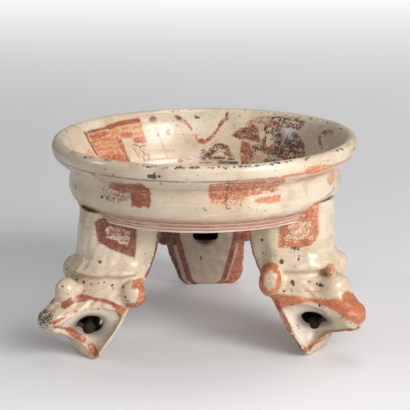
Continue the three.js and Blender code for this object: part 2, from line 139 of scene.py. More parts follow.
def turned_clay_tree():
    """Geometry Nodes that turn a profile round the Z axis, with a wobble and shallow dents."""
    tree = bpy.data.node_groups.new("turned clay", "GeometryNodeTree")
    tree.interface.new_socket("Profile", in_out="INPUT", socket_type="NodeSocketGeometry")
    for name, kind in (("Around", "NodeSocketInt"), ("Steps", "NodeSocketInt"), ("Wobble", "NodeSocketFloat"),
                       ("Dent Depth", "NodeSocketFloat"), ("Dent Radius", "NodeSocketFloat"),
                       ("Clay", "NodeSocketMaterial")):
        tree.interface.new_socket(name, in_out="INPUT", socket_type=kind)
    tree.interface.new_socket("Bowl", in_out="OUTPUT", socket_type="NodeSocketGeometry")
    given = tree.nodes.new("NodeGroupInput").outputs

    curve = add(tree, "GeometryNodeMeshToCurve", {"Mesh": given["Profile"]}).outputs[0]
    smooth = add(tree, "GeometryNodeCurveSplineType", {"Curve": curve}, spline_type="CATMULL_ROM").outputs[0]
    fine = add(tree, "GeometryNodeSetSplineResolution",
               {"Geometry": smooth, "Resolution": given["Steps"]}).outputs[0]
    line = add(tree, "GeometryNodeCurveToMesh", {"Curve": fine}).outputs[0]
    rows = add(tree, "GeometryNodeAttributeDomainSize", {0: line}, component="MESH").outputs["Point Count"]
    columns = plus(tree, given["Around"], 1)
    grid = add(tree, "GeometryNodeMeshGrid", {"Vertices X": rows, "Vertices Y": columns})
    square = add(tree, "ShaderNodeSeparateXYZ",
                 {0: add(tree, "GeometryNodeInputPosition").outputs[0]}).outputs
    along = plus(tree, square[0], 0.5)
    angle = times(tree, plus(tree, square[1], 0.5), 2 * math.pi)
    last = minus(tree, rows, 1)
    row = arithmetic(tree, "ROUND", times(tree, along, last))
    position = add(tree, "GeometryNodeInputPosition").outputs[0]
    sample = add(tree, "GeometryNodeSampleIndex", {"Geometry": line, "Index": row}, data_type="FLOAT_VECTOR")
    tree.links.new(position, sample.inputs["Value"])
    place = add(tree, "ShaderNodeSeparateXYZ", {0: sample.outputs[0]}).outputs
    cosine = arithmetic(tree, "COSINE", angle)
    sine = arithmetic(tree, "SINE", angle)
    round_place = add(tree, "ShaderNodeCombineXYZ", {0: cosine, 1: sine, 2: along}).outputs[0]
    noise = add(tree, "ShaderNodeTexNoise", {"Vector": round_place, "Scale": 1.6, "Detail": 2.0}).outputs
    lean = times(tree, minus(tree, noise[0], 0.5), given["Wobble"])
    reach = arithmetic(tree, "DIVIDE", place[0], 0.09)
    radius = plus(tree, place[0], times(tree, lean, reach))
    round_place_up = add(tree, "ShaderNodeCombineXYZ", {0: sine, 1: cosine, 2: along}).outputs[0]
    rise = add(tree, "ShaderNodeTexNoise", {"Vector": round_place_up, "Scale": 1.1, "Detail": 1.0}).outputs
    lift = times(tree, minus(tree, rise[0], 0.5), given["Wobble"])
    height = plus(tree, place[2], times(tree, lift, reach))
    spot = add(tree, "ShaderNodeCombineXYZ", {
        0: times(tree, radius, cosine),
        1: times(tree, radius, sine),
        2: height,
    }).outputs[0]
    named = add(tree, "GeometryNodeStoreNamedAttribute", {"Geometry": grid.outputs["Mesh"], "Name": "along",
                                                          "Value": along}, data_type="FLOAT", domain="POINT")
    turned = add(tree, "GeometryNodeSetPosition", {"Geometry": named.outputs[0], "Position": spot}).outputs[0]
    closed = add(tree, "GeometryNodeMergeByDistance", {"Geometry": turned, "Distance": 1e-5}).outputs[0]

    scattered = add(tree, "GeometryNodeDistributePointsOnFaces",
                    {"Mesh": closed, "Density": 3000.0, "Seed": 4})
    nearest = add(tree, "GeometryNodeProximity", {0: scattered.outputs["Points"]}, target_element="POINTS")
    size = add(tree, "ShaderNodeTexNoise", {"Scale": 130.0, "Detail": 0.0}).outputs[0]
    wide = times(tree, given["Dent Radius"], times(tree, size, 2.0))
    near = add(tree, "ShaderNodeMapRange", {0: nearest.outputs["Distance"], 1: 0.0, 2: wide, 3: 1.0, 4: 0.0},
               interpolation_type="SMOOTHSTEP").outputs[0]
    sunk = times(tree, times(tree, near, given["Dent Depth"]), -1)
    inward = add(tree, "ShaderNodeVectorMath", {0: add(tree, "GeometryNodeInputNormal").outputs[0], 3: sunk},
                 operation="SCALE").outputs[0]
    dented = add(tree, "GeometryNodeSetPosition", {"Geometry": closed, "Offset": inward}).outputs[0]

    shaded = add(tree, "GeometryNodeSetShadeSmooth", {"Geometry": dented}).outputs[0]
    whole = add(tree, "GeometryNodeRealizeInstances", {"Geometry": shaded}).outputs[0]
    coated = add(tree, "GeometryNodeSetMaterial", {"Geometry": whole, "Material": given["Clay"]}).outputs[0]
    tree.links.new(coated, tree.nodes.new("NodeGroupOutput").inputs["Bowl"])
    return tree


def grown(made, tree, values):
    """Runs a tree on an object and keeps its result as the object's plain mesh."""
    modifier = made.modifiers.new("grow", "NODES")
    modifier.node_group = tree
    sockets = {item.name: item.identifier for item in tree.interface.items_tree if item.in_out == "INPUT"}
    for name, value in values.items():
        modifier[sockets[name]] = value
    result = bpy.data.meshes.new_from_object(made.evaluated_get(bpy.context.evaluated_depsgraph_get()))
    made.modifiers.remove(modifier)
    made.data = result
    return made


# The slip. One burnished cream slip covers the whole pot, and orange and red-brown slips are painted
# over it. Each mesh carries the painting as distances to the painted shapes, which the material
# wears away at the edges and in streaks.

def colour(red, green, blue):
    """A colour as it looks on a screen, 0 to 255, made linear."""
    def linear(value):
        value /= 255
        return value / 12.92 if value <= 0.04045 else ((value + 0.055) / 1.055) ** 2.4
    return (linear(red), linear(green), linear(blue), 1.0)


CREAM = colour(222, 205, 181)
CREAM_WARM = colour(211, 190, 161)
CREAM_GREY = colour(192, 172, 147)
CREAM_PALE = colour(234, 221, 202)
# Painted light: the pale colour laid in the mouth dishes.
MOUTH_LIGHT = colour(240, 229, 212)
STAIN = colour(158, 122, 90)
PAINT = [(0.0, colour(226, 174, 126)), (0.35, colour(207, 122, 76)), (0.65, colour(158, 80, 54)),
         (0.85, colour(120, 60, 46)), (1.0, colour(76, 44, 36))]
# The ledge band's stripes from its low edge up. The pale stripe at the bottom is a painted highlight along
# the ledge's rounded lower edge.
BAND_STRIPES_AND_HIGHLIGHT = [(0.0, colour(222, 204, 188)), (0.07, colour(236, 218, 206)), (0.13, colour(176, 122, 102)),
                (0.22, colour(198, 150, 132)), (0.27, colour(228, 196, 182)), (0.32, colour(168, 108, 88)),
                (0.44, colour(182, 138, 116)), (0.5, colour(220, 188, 170)), (0.56, colour(160, 110, 88)),
                (0.72, colour(190, 156, 130)), (1.0, colour(214, 194, 168))]
BAND_LOW = 83.2
BAND_HIGH = 93.4
PIT = colour(56, 27, 14)
SOOT = colour(50, 28, 20)
# The grey of the fire-clouding, also laid on the legs' backs as painted shade under the bowl, with some
# smoke.
CLOUD_GREY_AND_SHADE = colour(184, 166, 154)
# Painted shade: the near black laid in the leg's hollow, in the funnels round its cheek holes and below its
# vent.
HOLLOW_SHADE_BROWN = colour(50, 37, 29)
BURNISH = 0.25
BURNISH_ROUGHNESS = 0.16
# How wavy the striped band is, in millimetres, and how far brush marks are drawn out round the pot.
BAND_WAVE = 2.4
BRUSHED = (0.14, 0.14, 1.0)
# The spots in the clay: how many to a metre, the share of places without one, and their reach.
SPOT_KINDS = ((240.0, 0.82, 0.19), (430.0, 0.8, 0.3))
# Distances that stand for no shape near by, and a length too small to see.
FAR_AWAY = 1e9
UNPAINTED = 50.0
NO_LINE = -9.0
TINY = 1e-9


def reading(tree, name):
    """What the mesh carries under this name."""
    return add(tree, "ShaderNodeAttribute", attribute_name=name).outputs["Fac"]


def noise(tree, place, scale, detail=3.0, roughness=0.55):
    """Cloudy values from 0 to 1, with features one part in scale of a metre across."""
    made = add(tree, "ShaderNodeTexNoise", {"Vector": place, "Scale": scale, "Detail": detail,
                                            "Roughness": roughness})
    return made.outputs[0]


def span(tree, value, low, high):
    """Nought below the low value, one above the high one, and smooth between."""
    made = add(tree, "ShaderNodeMapRange", {0: value, 1: low, 2: high}, interpolation_type="SMOOTHSTEP")
    return made.outputs[0]


def mixed(tree, factor, a, b):
    return add(tree, "ShaderNodeMix", {0: factor, 6: a, 7: b}, data_type="RGBA").outputs[2]


def ramp(tree, factor, stops):
    made = add(tree, "ShaderNodeValToRGB", {0: factor})
    elements = made.color_ramp.elements
    while len(elements) < len(stops):
        elements.new(0.5)
    for element, (where, tone) in zip(elements, stops):
        element.position = where
        element.color = tone
    return made.outputs[0]


def weighed(tree, *parts):
    """The sum of values, each times its weight."""
    total = 0.0
    for value, weight in parts:
        total = plus(tree, total, times(tree, value, weight))
    return total


def plain_slip(tree, broad, blotch, streak, fine):
    """Cream slip with warm, grey, pale and dirty patches, and painted light that makes the mouth dishes
    paler.
    """
    tone = mixed(tree, span(tree, broad, 0.4, 0.62), CREAM, CREAM_WARM)
    dirty = times(tree, span(tree, fine, 0.5, 0.72), span(tree, blotch, 0.4, 0.66))
    for share, amount, over in ((span(tree, blotch, 0.49, 0.7), 0.65, CREAM_GREY),
                                (span(tree, streak, 0.5, 0.72), 0.5, CREAM_PALE),
                                (dirty, 0.5, STAIN), (reading(tree, "chalky"), 0.8, MOUTH_LIGHT)):
        tone = mixed(tree, times(tree, share, amount), tone, over)
    return tone


def striped_band(tree, tone, blotch, streak):
    """The striped band over the ledge, wavy, and brushed on round the pot, with a painted highlight along the
    ledge's lower edge.
    """
    waved = plus(tree, reading(tree, "height"), times(tree, minus(tree, blotch, 0.5), BAND_WAVE))
    stripe = add(tree, "ShaderNodeMapRange", {0: waved, 1: BAND_LOW, 2: BAND_HIGH}).outputs[0]
    in_band = times(tree, span(tree, stripe, 1.0, 0.78), reading(tree, "band"))
    in_band = times(tree, in_band, span(tree, streak, 0.28, 0.5))
    return mixed(tree, in_band, tone, ramp(tree, stripe, BAND_STRIPES_AND_HIGHLIGHT))


def painted_coats(tree, tone, ragged, streak, mottle, fine):
    """The filled shapes and over them the lines, ragged at the edge and worn away in streaks."""
    rubbed = weighed(tree, (streak, 0.26), (mottle, 0.3), (fine, 0.44))
    rubbed = add(tree, "ShaderNodeMapRange", {0: rubbed, 1: 0.4, 2: 0.6}).outputs[0]
    uneven = minus(tree, weighed(tree, (mottle, 0.6), (fine, 0.8), (streak, 0.5)), 0.95)
    fill_edge = plus(tree, reading(tree, "fill"), ragged)
    line_reach = minus(tree, reading(tree, "line_half"), times(tree, ragged, 0.45))
    line_edge = minus(tree, arithmetic(tree, "ABSOLUTE", reading(tree, "line")), line_reach)
    for coat, edge in (("fill", fill_edge), ("line", line_edge)):
        wear = reading(tree, coat + "_wear")
        kept = span(tree, rubbed, minus(tree, wear, 0.3), plus(tree, wear, 0.08))
        covered = times(tree, span(tree, edge, 0.5, -0.7), kept)
        shade = plus(tree, reading(tree, coat + "_tint"), uneven, clamp=True)
        tone = mixed(tree, times(tree, covered, 0.94), tone, ramp(tree, shade, PAINT))
    return tone


def dark_spots(tree, place):
    """Small dark spots of two sizes, scattered through the clay."""
    spots = 0.0
    for close, share, reach in SPOT_KINDS:
        speck = add(tree, "ShaderNodeTexVoronoi", {"Vector": place, "Scale": close, "Randomness": 1.0})
        lot = add(tree, "ShaderNodeSeparateColor", {0: speck.outputs["Color"]}).outputs[0]
        size = times(tree, span(tree, lot, share, 1.0), reach)
        dot = span(tree, speck.outputs["Distance"], size, times(tree, size, 0.6))
        dot = times(tree, dot, span(tree, lot, share + 0.01, share + 0.06))
        spots = arithmetic(tree, "MAXIMUM", spots, dot)
    return spots


def slip_material():
    """Burnished cream slip, painted orange and red-brown, worn, pitted, sooted, fire-clouded, and with
    painted light and shade.
    """
    made = bpy.data.materials.new("painted slip")
    made.use_nodes = True
    tree = made.node_tree
    shader = tree.nodes["Principled BSDF"]
    place = add(tree, "ShaderNodeTexCoord").outputs["Object"]
    brushed = add(tree, "ShaderNodeVectorMath", {0: place, 1: BRUSHED}, operation="MULTIPLY").outputs[0]
    broad = noise(tree, place, 18.0)
    blotch = noise(tree, place, 75.0, 4.0)
    streak = noise(tree, brushed, 520.0, 4.0, 0.6)
    mottle = noise(tree, place, 420.0, 4.0, 0.65)
    fine = noise(tree, place, 1000.0, 3.0, 0.7)
    grain = noise(tree, place, 1600.0, 2.0)
    ragged = minus(tree, weighed(tree, (mottle, 3.0), (blotch, 1.4), (fine, 3.4)), 3.9)

    tone = striped_band(tree, plain_slip(tree, broad, blotch, streak, fine), blotch, streak)
    tone = mixed(tree, times(tree, reading(tree, "cloud"), span(tree, mottle, 0.2, 0.5)), tone, CLOUD_GREY_AND_SHADE)
    tone = painted_coats(tree, tone, ragged, streak, mottle, fine)
    holes = span(tree, plus(tree, reading(tree, "pit"), times(tree, ragged, 0.55)), 0.1, -0.6)
    dark = arithmetic(tree, "MAXIMUM", times(tree, dark_spots(tree, place), 0.6), holes)
    sooty = times(tree, reading(tree, "soot"), 0.27)
    flecks = span(tree, weighed(tree, (mottle, 0.4), (fine, 0.6)), minus(tree, 0.72, sooty),
                  minus(tree, 0.78, sooty))
    bare = reading(tree, "bare")
    for share, over in ((times(tree, flecks, 0.9), SOOT), (times(tree, dark, 0.9), PIT), (bare, HOLLOW_SHADE_BROWN)):
        tone = mixed(tree, share, tone, over)
    tree.links.new(tone, shader.inputs["Base Color"])

    gloss = plus(tree, 0.2, times(tree, blotch, 0.14))
    gloss = plus(tree, gloss, times(tree, arithmetic(tree, "MAXIMUM", dark, bare), 0.4))
    tree.links.new(gloss, shader.inputs["Roughness"])
    shader.inputs["Coat Weight"].default_value = BURNISH
    shader.inputs["Coat Roughness"].default_value = BURNISH_ROUGHNESS
    relief = plus(tree, times(tree, streak, 0.5), times(tree, grain, 0.16))
    relief = minus(tree, plus(tree, relief, times(tree, blotch, 0.9)), times(tree, dark, 0.8))
    bump = add(tree, "ShaderNodeBump", {"Height": relief, "Strength": 0.45, "Distance": 0.0006}).outputs[0]
    tree.links.new(bump, shader.inputs["Normal"])
    return made


def smoothstep(low, high, value):
    t = np.clip((value - low) / (high - low), 0, 1)
    return t * t * (3 - 2 * t)


def squared_gap(x, y, x0, y0, dx, dy):
    """The squared distance to a straight piece that starts at x0, y0 and runs by dx, dy."""
    t = np.clip(((x - x0) * dx + (y - y0) * dy) / (dx * dx + dy * dy + TINY), 0, 1)
    return (x - x0 - t * dx) ** 2 + (y - y0 - t * dy) ** 2


def outline_distance(outline, x, y):
    """The signed distance to a closed outline, negative inside."""
    best = np.full(np.broadcast(x, y).shape, FAR_AWAY, np.float32)
    inside = np.zeros(best.shape, bool)
    for (x0, y0), (x1, y1) in zip(outline, outline[1:] + outline[:1]):
        best = np.minimum(best, squared_gap(x, y, x0, y0, x1 - x0, y1 - y0))
        crosses = (y0 > y) != (y1 > y)
        inside ^= crosses & (x < x0 + (x1 - x0) * (y - y0) / ((y1 - y0) or TINY))
    return np.where(inside, -1, 1) * np.sqrt(best)


def painted_fills(fills, x, y):
    """Distance, tint and wear of painted shapes. A later shape counts where it covers an earlier one."""
    best = np.full(x.shape, UNPAINTED)
    tint, wear = np.zeros(x.shape), np.zeros(x.shape)
    for shade, worn, outline in fills:
        away = outline_distance(outline, x, y)
        counts = (away < 0) | (away < best)
        tint = np.where(counts, shade, tint)
        wear = np.where(counts, worn, wear)
        best = np.minimum(best, away)
    return best, tint, wear


def painted_lines(lines, x, y):
    """Signed distance to the nearest painted line, its half width there, its tint and its wear."""
    best = np.full(x.shape, FAR_AWAY)
    away, half = np.full(x.shape, UNPAINTED), np.full(x.shape, NO_LINE)
    tint, wear = np.zeros(x.shape), np.zeros(x.shape)
    for width, shade, worn, line in lines:
        last = len(line) - 2
        for k, ((x0, y0), (x1, y1)) in enumerate(zip(line, line[1:])):
            long = math.hypot(x1 - x0, y1 - y0)
            ex, ey = (x1 - x0) / long, (y1 - y0) / long
            ahead = (x - x0) * ex + (y - y0) * ey
            across = (y - y0) * ex - (x - x0) * ey
            over = np.maximum(np.maximum(-ahead, ahead - long), 0)
            gap = np.hypot(across, over)
            ending = ((ahead < 0) & (k == 0)) | ((ahead > long) & (k == last))
            near = gap < best
            best = np.where(near, gap, best)
            away = np.where(near, np.where(ending, across, np.copysign(gap, across)), away)
            half = np.where(near, width - np.where(ending, over, 0), half)
            tint = np.where(near, shade, tint)
            wear = np.where(near, worn, wear)
    return away, half, tint, wear


def spots_distance(spots, x, y):
    """Signed distance to round spots, each given by its place and radius."""
    best = np.full(x.shape, UNPAINTED)
    for across, height, radius in spots:
        best = np.minimum(best, np.hypot(x - across, y - height) - radius)
    return best


def carry(made, **fields):
    """Stores values at a mesh's points, for the material to read."""
    for name, values in fields.items():
        stored = made.data.attributes.new(name, "FLOAT", "POINT")
        stored.data.foreach_set("value", np.broadcast_to(values, len(made.data.vertices)).astype(np.float32))


slip = slip_material()


profile_mesh = bpy.data.meshes.new("bowl")
profile_mesh.from_pydata([(r * MM, 0, z * MM) for r, z in PROFILE],
                         [(i, i + 1) for i in range(len(PROFILE) - 1)], [])
bowl = bpy.data.objects.new("bowl_skin", profile_mesh)
bpy.context.scene.collection.objects.link(bowl)
grown(bowl, turned_clay_tree(), {"Around": AROUND, "Steps": STEPS, "Wobble": WOBBLE * MM,
                                 "Dent Depth": DENT_DEPTH * MM, "Dent Radius": DENT_RADIUS * MM,
                                 "Clay": slip})

# The bowl's painting. Places are degrees round the bowl, from its right side over the back, and
# heights in millimetres. A filled shape has a tint from light orange to dark brown, how far it is
# worn, and its outline. A line has its half width, tint, wear and points.
DEGREE = 1.45
LIP_TOP = LIP[7]
CLOUD_DARK = 0.85
WEAR_STEP = 0.8
WEAR_SWAY = 0.6
INSIDE_FILLS = [
    (0.14, 0.6, [(154.6, 114), (135.4, 112), (135.4, 102), (150.4, 103.6)]),
    (0.24, 0.52, [(155.6, 119), (121, 120), (120.2, 111), (134, 111), (153.6, 110)]),
    (0.15, 0.52, [(161, 111), (156.5, 110), (151.5, 103.4), (148.5, 98), (154, 96), (160, 102)]),
    (0.52, 0.3, [(153.6, 118), (141, 117.6), (141.6, 114.6), (152.6, 113.8)]),
    (0.5, 0.16, [(150.6, 104), (134.4, 102), (130, 90), (139, 88), (149, 98)]),
    (0.5, 0.1, [(136, 111.8), (133, 111.4), (131.4, 103.2), (128.8, 93), (127.5, 88), (132.5, 88),
                 (132.9, 98.5), (135.2, 105)]),
    (0.46, 0.1, [(132.4, 114.5), (126.2, 114.2), (126, 110.5), (133, 111)]),
    (0.5, 0.1, [(126.6, 110.6), (119.3, 111), (119.1, 105.3), (125.8, 106.4)]),
    (0.4, 0.6, [(70.5, 117.4), (66.4, 121.4), (63.6, 120), (65, 114.4), (68.6, 113.6)]),
    (0.8, 0.38, [(77, 108.6), (73.6, 113.4), (69.6, 115), (66, 116.4), (63.6, 115), (62.4, 109),
                 (61.6, 104.6),
                  (66, 105.4), (69, 106.6), (72.6, 106)]),
    (0.62, 0.4, [(71.6, 106), (72.2, 99.2), (72, 94.5), (70.6, 88), (67.2, 88), (66, 94), (66, 99.6),
                 (67.6, 105)]),
    (0.9, 0.6, [(66, 121), (60, 123), (44, 124), (38, 122), (40, 116), (48, 115), (58.6, 118), (64, 116)]),
    (1.0, 0.54, [(66.6, 103), (60, 104.6), (54, 101), (48, 104), (40, 101), (34.6, 98), (33.6, 90),
                 (48, 87), (66, 88)]),
    (0.74, 0.4, [(61, 119), (55.4, 120), (51, 115.4), (47, 116.6), (43.6, 113), (43, 106.4), (46.4, 101.6),
                 (51, 100.4), (55, 99), (60.6, 100.6), (61.6, 106.4), (59.4, 110), (61, 114)]),
    (0.92, 0.4, [(48, 116.6), (41, 114.6), (35.6, 110), (33, 104), (33.6, 96), (38, 91), (46, 91), (49, 97),
                  (50.4, 103), (47, 109)]),
    (0.0, 1.4, [(56.8, 113.4), (53.6, 113), (53.6, 107.6), (56.8, 103.4), (59, 105.4), (58.4, 109.6)]),
    (0.6, 0.7, [(65.6, 98), (61, 99.6), (57, 97), (60, 92.6), (65, 92)]),
]
INSIDE_LINES = [
    (1.0, 0.86, 0.12, [(156.1, 120.4), (155.6, 116.6), (154.7, 111.8), (153.4, 108), (151.9, 105)]),
    (0.6, 0.6, 0.3, [(151.4, 103.6), (150.2, 100.6), (149.2, 98)]),
    (1.0, 0.78, 0.3, [(156, 120), (150, 119.6), (144.4, 119.5), (139.6, 119.5)]),
    (1.6, 0.66, 0.1, [(140, 119.5), (136.3, 119.8), (131.1, 120.6), (125.7, 120.8), (121, 120.8)]),
    (0.9, 0.35, 0.3, [(120.4, 120.4), (121.1, 115.3), (120.3, 110.4)]),
    (0.5, 0.62, 0.22, [(127.9, 105.2), (126.4, 105.9), (124.8, 105.4), (123.4, 103.8), (122, 104.4),
                       (120.2, 104.2)]),
    (0.55, 0.55, 0.25, [(127, 103.6), (125.8, 101.6), (124.9, 99), (124, 96.6)]),
    (0.5, 0.6, 0.25, [(123.6, 101.8), (121.8, 100.6), (121, 98.4), (122.2, 96.6), (121, 94)]),
    (0.5, 0.5, 0.25, [(119.4, 98.4), (118.2, 96.4), (119, 94)]),
    (1.8, 0.8, 0.08, [(115, 120.3), (113, 120.9)]),
    (0.5, 0.5, 0.25, [(114.3, 115), (113.1, 114.4), (113, 112.8)]),
    (0.8, 0.95, 0.15, [(113, 111.4), (112.4, 109.6)]),
    (0.5, 0.4, 0.38, [(112, 108), (111.2, 104), (110.2, 100.4), (108.8, 95)]),
    (1.4, 0.5, 0.3, [(103.2, 92.2), (101.6, 92)]),
    (1.4, 0.85, 0.2, [(102.9, 121), (100.9, 119.4)]),
    (1.6, 0.5, 0.48, [(100.4, 118.8), (98.3, 116.8)]),
    (1.2, 0.5, 0.44, [(97.7, 116), (96, 112.4)]),
    (0.8, 0.45, 0.46, [(95.4, 109), (94.2, 108.4), (93.8, 106), (92.8, 105.6)]),
    (1.8, 0.66, 0.2, [(92.8, 105.2), (89.8, 104.2)]),
    (1.4, 0.62, 0.38, [(88.8, 105.2), (86.7, 107)]),
    (1.3, 0.56, 0.40, [(86.2, 107.8), (84.6, 110.2)]),
    (1.0, 0.6, 0.42, [(84.2, 111.2), (83.2, 113)]),
    (1.4, 0.74, 0.26, [(82.8, 115), (81.2, 117.8)]),
    (1.2, 0.5, 0.42, [(81.2, 118.4), (79, 119.4)]),
    (0.9, 0.97, 0.1, [(79.9, 120.6), (79.4, 123)]),
    (1.8, 0.92, 0.44, [(90.8, 98), (88.6, 96), (87, 93.4)]),
    (2.4, 0.88, 0.42, [(87, 97.4), (85.4, 99), (83.4, 101.4), (81, 101.2)]),
    (2.2, 0.7, 0.5, [(79.4, 101), (78.2, 97.4), (78.2, 95), (75.8, 93.6)]),
    (1.3, 0.94, 0.5, [(92, 93.4), (86, 93.2), (80, 93.8)]),
    (1.1, 0.96, 0.4, [(83, 90.4), (73, 90.8)]),
    (0.6, 0.6, 0.4, [(92.8, 90.6), (86.4, 90.4)]),
    (1.6, 0.93, 0.5, [(15.7, 121), (20, 120.4), (23.6, 118.6), (25.2, 115), (22.4, 111.4), (19.6, 110)]),
] + [(0.8, 0.42, 0.3, [(154 - 0.8 * row, 113.3 - 2.85 * row), (143, 112.6 - 2.9 * row),
                       (135.2, 111.6 - 2.9 * row)])
     for row in range(4)]
OUTSIDE_FILLS = [
    (0.6, 0.64, [(231, 112), (226, 111), (224, 104), (228, 98.6), (236, 98), (239.4, 103)]),
    (0.62, 0.3, [(241.6, 113), (233.6, 112.4), (231, 110.6), (231.4, 105.6), (235, 104.6), (239.4, 105.2)]),
    (0.66, 0.08, [(241, 112.8), (247.2, 114.4), (248.3, 110), (248.6, 104), (248.2, 97.6), (245.4, 98.6),
                  (243.4, 97.6), (241.4, 98.4), (240, 97.6), (239.6, 101), (239, 105)]),
    (0.3, 0.6, [(272, 106.5), (283, 105), (288, 103.5), (284, 100.4), (277, 99.4), (272, 102)]),
    (0.44, 0.38, [(271.6, 115), (277.8, 116.2), (287, 116.2), (299, 116.4), (300.4, 113), (299.8, 108),
                  (300.4, 104.8), (294, 105.4), (288, 104.8), (283, 103.6), (276, 103.2), (271.6, 105),
                  (271, 112)]),
    (0.34, 0.1, [(290, 103.2), (296, 103.6), (301.2, 104), (301.4, 99.4), (294, 99.8), (289.6, 101.2)]),
    (0.25, 0.4, [(329.5, 105.6), (333, 109.4), (337.6, 112), (340, 104), (336, 100.8), (331.6, 101)]),
    (0.36, 0.2, [(306, 113.6), (324, 114.6), (328, 113), (318, 110.8), (306, 110.8)]),
    (0.3, 0.4, [(307, 119.2), (311, 120.6), (316, 120), (321, 118.6), (320.4, 115.4), (312, 114.4),
                (308, 115.6)]),
]
OUTSIDE_LINES_AND_LIP_SHADOW = [
    (0.9, 0.3, 0.3, [(225.6, 116), (226.6, 113.8), (228.2, 111.4)]),
    (0.6, 0.95, 0.42, [(277.9, 116.4), (278.4, 110), (278.4, 106.7), (277.9, 101), (278.4, 98.6),
                       (280, 98.6)]),
    (0.4, 0.95, 0.2, [(329, 95.8), (333.5, 96.6), (338, 98.4)]),
    # Painted shadow: a dark line under the lip's lower edge, round the front.
    (0.5, 0.9, 0.42, [(192, 116.8), (230, 116.6), (270, 116.6), (296, 116.8)]),
    (1.0, 0.3, 0.3, [(298, 116.8), (320, 116.8), (346, 116.8)]),
]
FIRE_CLOUD = [(43, 121), (36, 124.5), (20, 125.5), (0, 125.5), (-18, 125.5), (-32, 120), (-40, 105),
              (-20, 92), (10, 90),
              (30, 92), (37, 96), (38.5, 104)]
BLACK_SPECKS = [(68, 122), (50, 124), (38, 121), (33, 108), (34, 92), (62, 91), (60, 103), (68, 110)]
# Pits and dark marks: degrees, radius from the axis, height and size.
BOWL_PITS = [
    (250.8, 94.7, 119.1, 1.5), (252.5, 94.6, 119, 1.8), (254.4, 94.6, 119.3, 1.4), (252.7, 94.8, 121.1, 0.8),
    (263.9, 94.6, 118.9, 0.8), (233.3, 94.9, 120.4, 0.9), (236.6, 94.4, 117.9, 1.0),
    (224.6, 84.8, 100.1, 1.3),
    (227.2, 84.9, 99.7, 1.0), (254.5, 92.6, 114.8, 1.1), (202.5, 84.7, 100.3, 1.3), (254.4, 84.3, 102.4, 0.7),
    (263.4, 85.2, 109.4, 0.5), (262.9, 84.3, 101.9, 0.5), (260.3, 83.5, 91.5, 0.6), (269.4, 84.9, 98.9, 1.0),
    (270.3, 84.9, 98, 0.9), (305.1, 84.5, 102.3, 0.9), (287.3, 85, 98.5, 0.6), (93.6, 85.4, 120.6, 1.5),
    (92.6, 85.2, 120, 1.2), (89.4, 84, 117.6, 0.8), (40, 79.2, 106, 1.0), (52, 81.5, 111.8, 1.3),
    (51, 80.2, 107, 0.9),
    (71.5, 80.8, 111, 0.8), (74, 80.4, 108.4, 1.0), (48, 79.4, 104.3, 0.9),
]
# Worn stretches of the rim: first and last degree, radius, height, and the marks' size and share.
RIM_WEAR = [(196, 344, 90.2, 125.5, 0.6, 0.7), (304, 345, 94.2, 121, 0.9, 0.55),
            (198, 228, 92.8, 124.7, 0.8, 0.7),
            (290, 340, 92.8, 124.7, 0.9, 0.6), (250, 290, 93.2, 124.6, 1.0, 0.8),
            (226, 250, 92.6, 124.9, 0.9, 0.5), (20, 74, 85.6, 121.2, 0.8, 0.4),
            (-30, 62, 88.4, 124.2, 0.8, 0.6), (62, 200, 89.0, 124.6, 0.7, 0.4),
            (190, 350, 94.4, 120.6, 0.7, 0.16),
            (0, 360, 91.6, 125.4, 0.7, 0.3), (190, 350, 84.8, 100, 0.6, 0.1)]


def paint_bowl(made):
    """Stores the bowl's painting at its points, which are still centred on its axis."""
    points = points_of(made)
    radius = np.hypot(points[:, 0], points[:, 1])
    angle = np.degrees(np.arctan2(points[:, 1], points[:, 0]))
    along = np.zeros(len(points))
    made.data.attributes["along"].data.foreach_get("value", along)
    within = along > PROFILE.index(LIP_TOP) / (len(PROFILE) - 1)
    inner = np.where(angle < -170, angle + 360, angle) * DEGREE
    outer = np.where(angle < 0, angle + 360, angle) * DEGREE
    height = points[:, 2]

    def scaled(outline):
        return [(a * DEGREE, z) for a, z in outline]

    def both(kind, inside, outside):
        ins = kind([(*row[:-1], scaled(row[-1])) for row in inside], inner, height)
        outs = kind([(*row[:-1], scaled(row[-1])) for row in outside], outer, height)
        return [np.where(within, i, o) for i, o in zip(ins, outs)]

    fill, fill_tint, fill_wear = both(painted_fills, INSIDE_FILLS, OUTSIDE_FILLS)
    line, line_half, line_tint, line_wear = both(painted_lines, INSIDE_LINES, OUTSIDE_LINES_AND_LIP_SHADOW)
    rng = np.random.default_rng(11)
    pits = list(BOWL_PITS)
    for start, end, reach, up, size, share in RIM_WEAR:
        for where in np.arange(start, end, WEAR_STEP):
            if rng.random() < share:
                pits.append((where, reach + rng.uniform(-WEAR_SWAY, WEAR_SWAY),
                             up + rng.uniform(-WEAR_SWAY, WEAR_SWAY), size * rng.uniform(0.5, 1.3)))
    pit = np.full(len(points), UNPAINTED)
    for where, reach, up, size in pits:
        x, y = reach * math.cos(math.radians(where)), reach * math.sin(math.radians(where))
        gap = np.sqrt((points[:, 0] - x) ** 2 + (points[:, 1] - y) ** 2 + (height - up) ** 2)
        pit = np.minimum(pit, gap - size)
    cloud = smoothstep(4, -8, outline_distance(scaled(FIRE_CLOUD), inner, height)) * within
    specks = smoothstep(3, -13, outline_distance(scaled(BLACK_SPECKS), inner, height)) * within
    band = (~within) * smoothstep(82.9, 83.4, height) * smoothstep(77.5, 78.5, radius)
    carry(made, fill=fill, fill_tint=fill_tint, fill_wear=fill_wear, line=line, line_half=line_half,
          line_tint=line_tint, line_wear=line_wear, pit=pit, cloud=CLOUD_DARK * cloud, soot=specks,
          band=band, chalky=0.0, height=height, bare=0.0)


paint_bowl(bowl)
bowl.data.transform(Matrix.Translation((bowl_axis[0] * MM, bowl_axis[1] * MM, 0)))
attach(bowl, "fired_vessel")
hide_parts("bowl_base", "bowl_wall", "rim_coil")


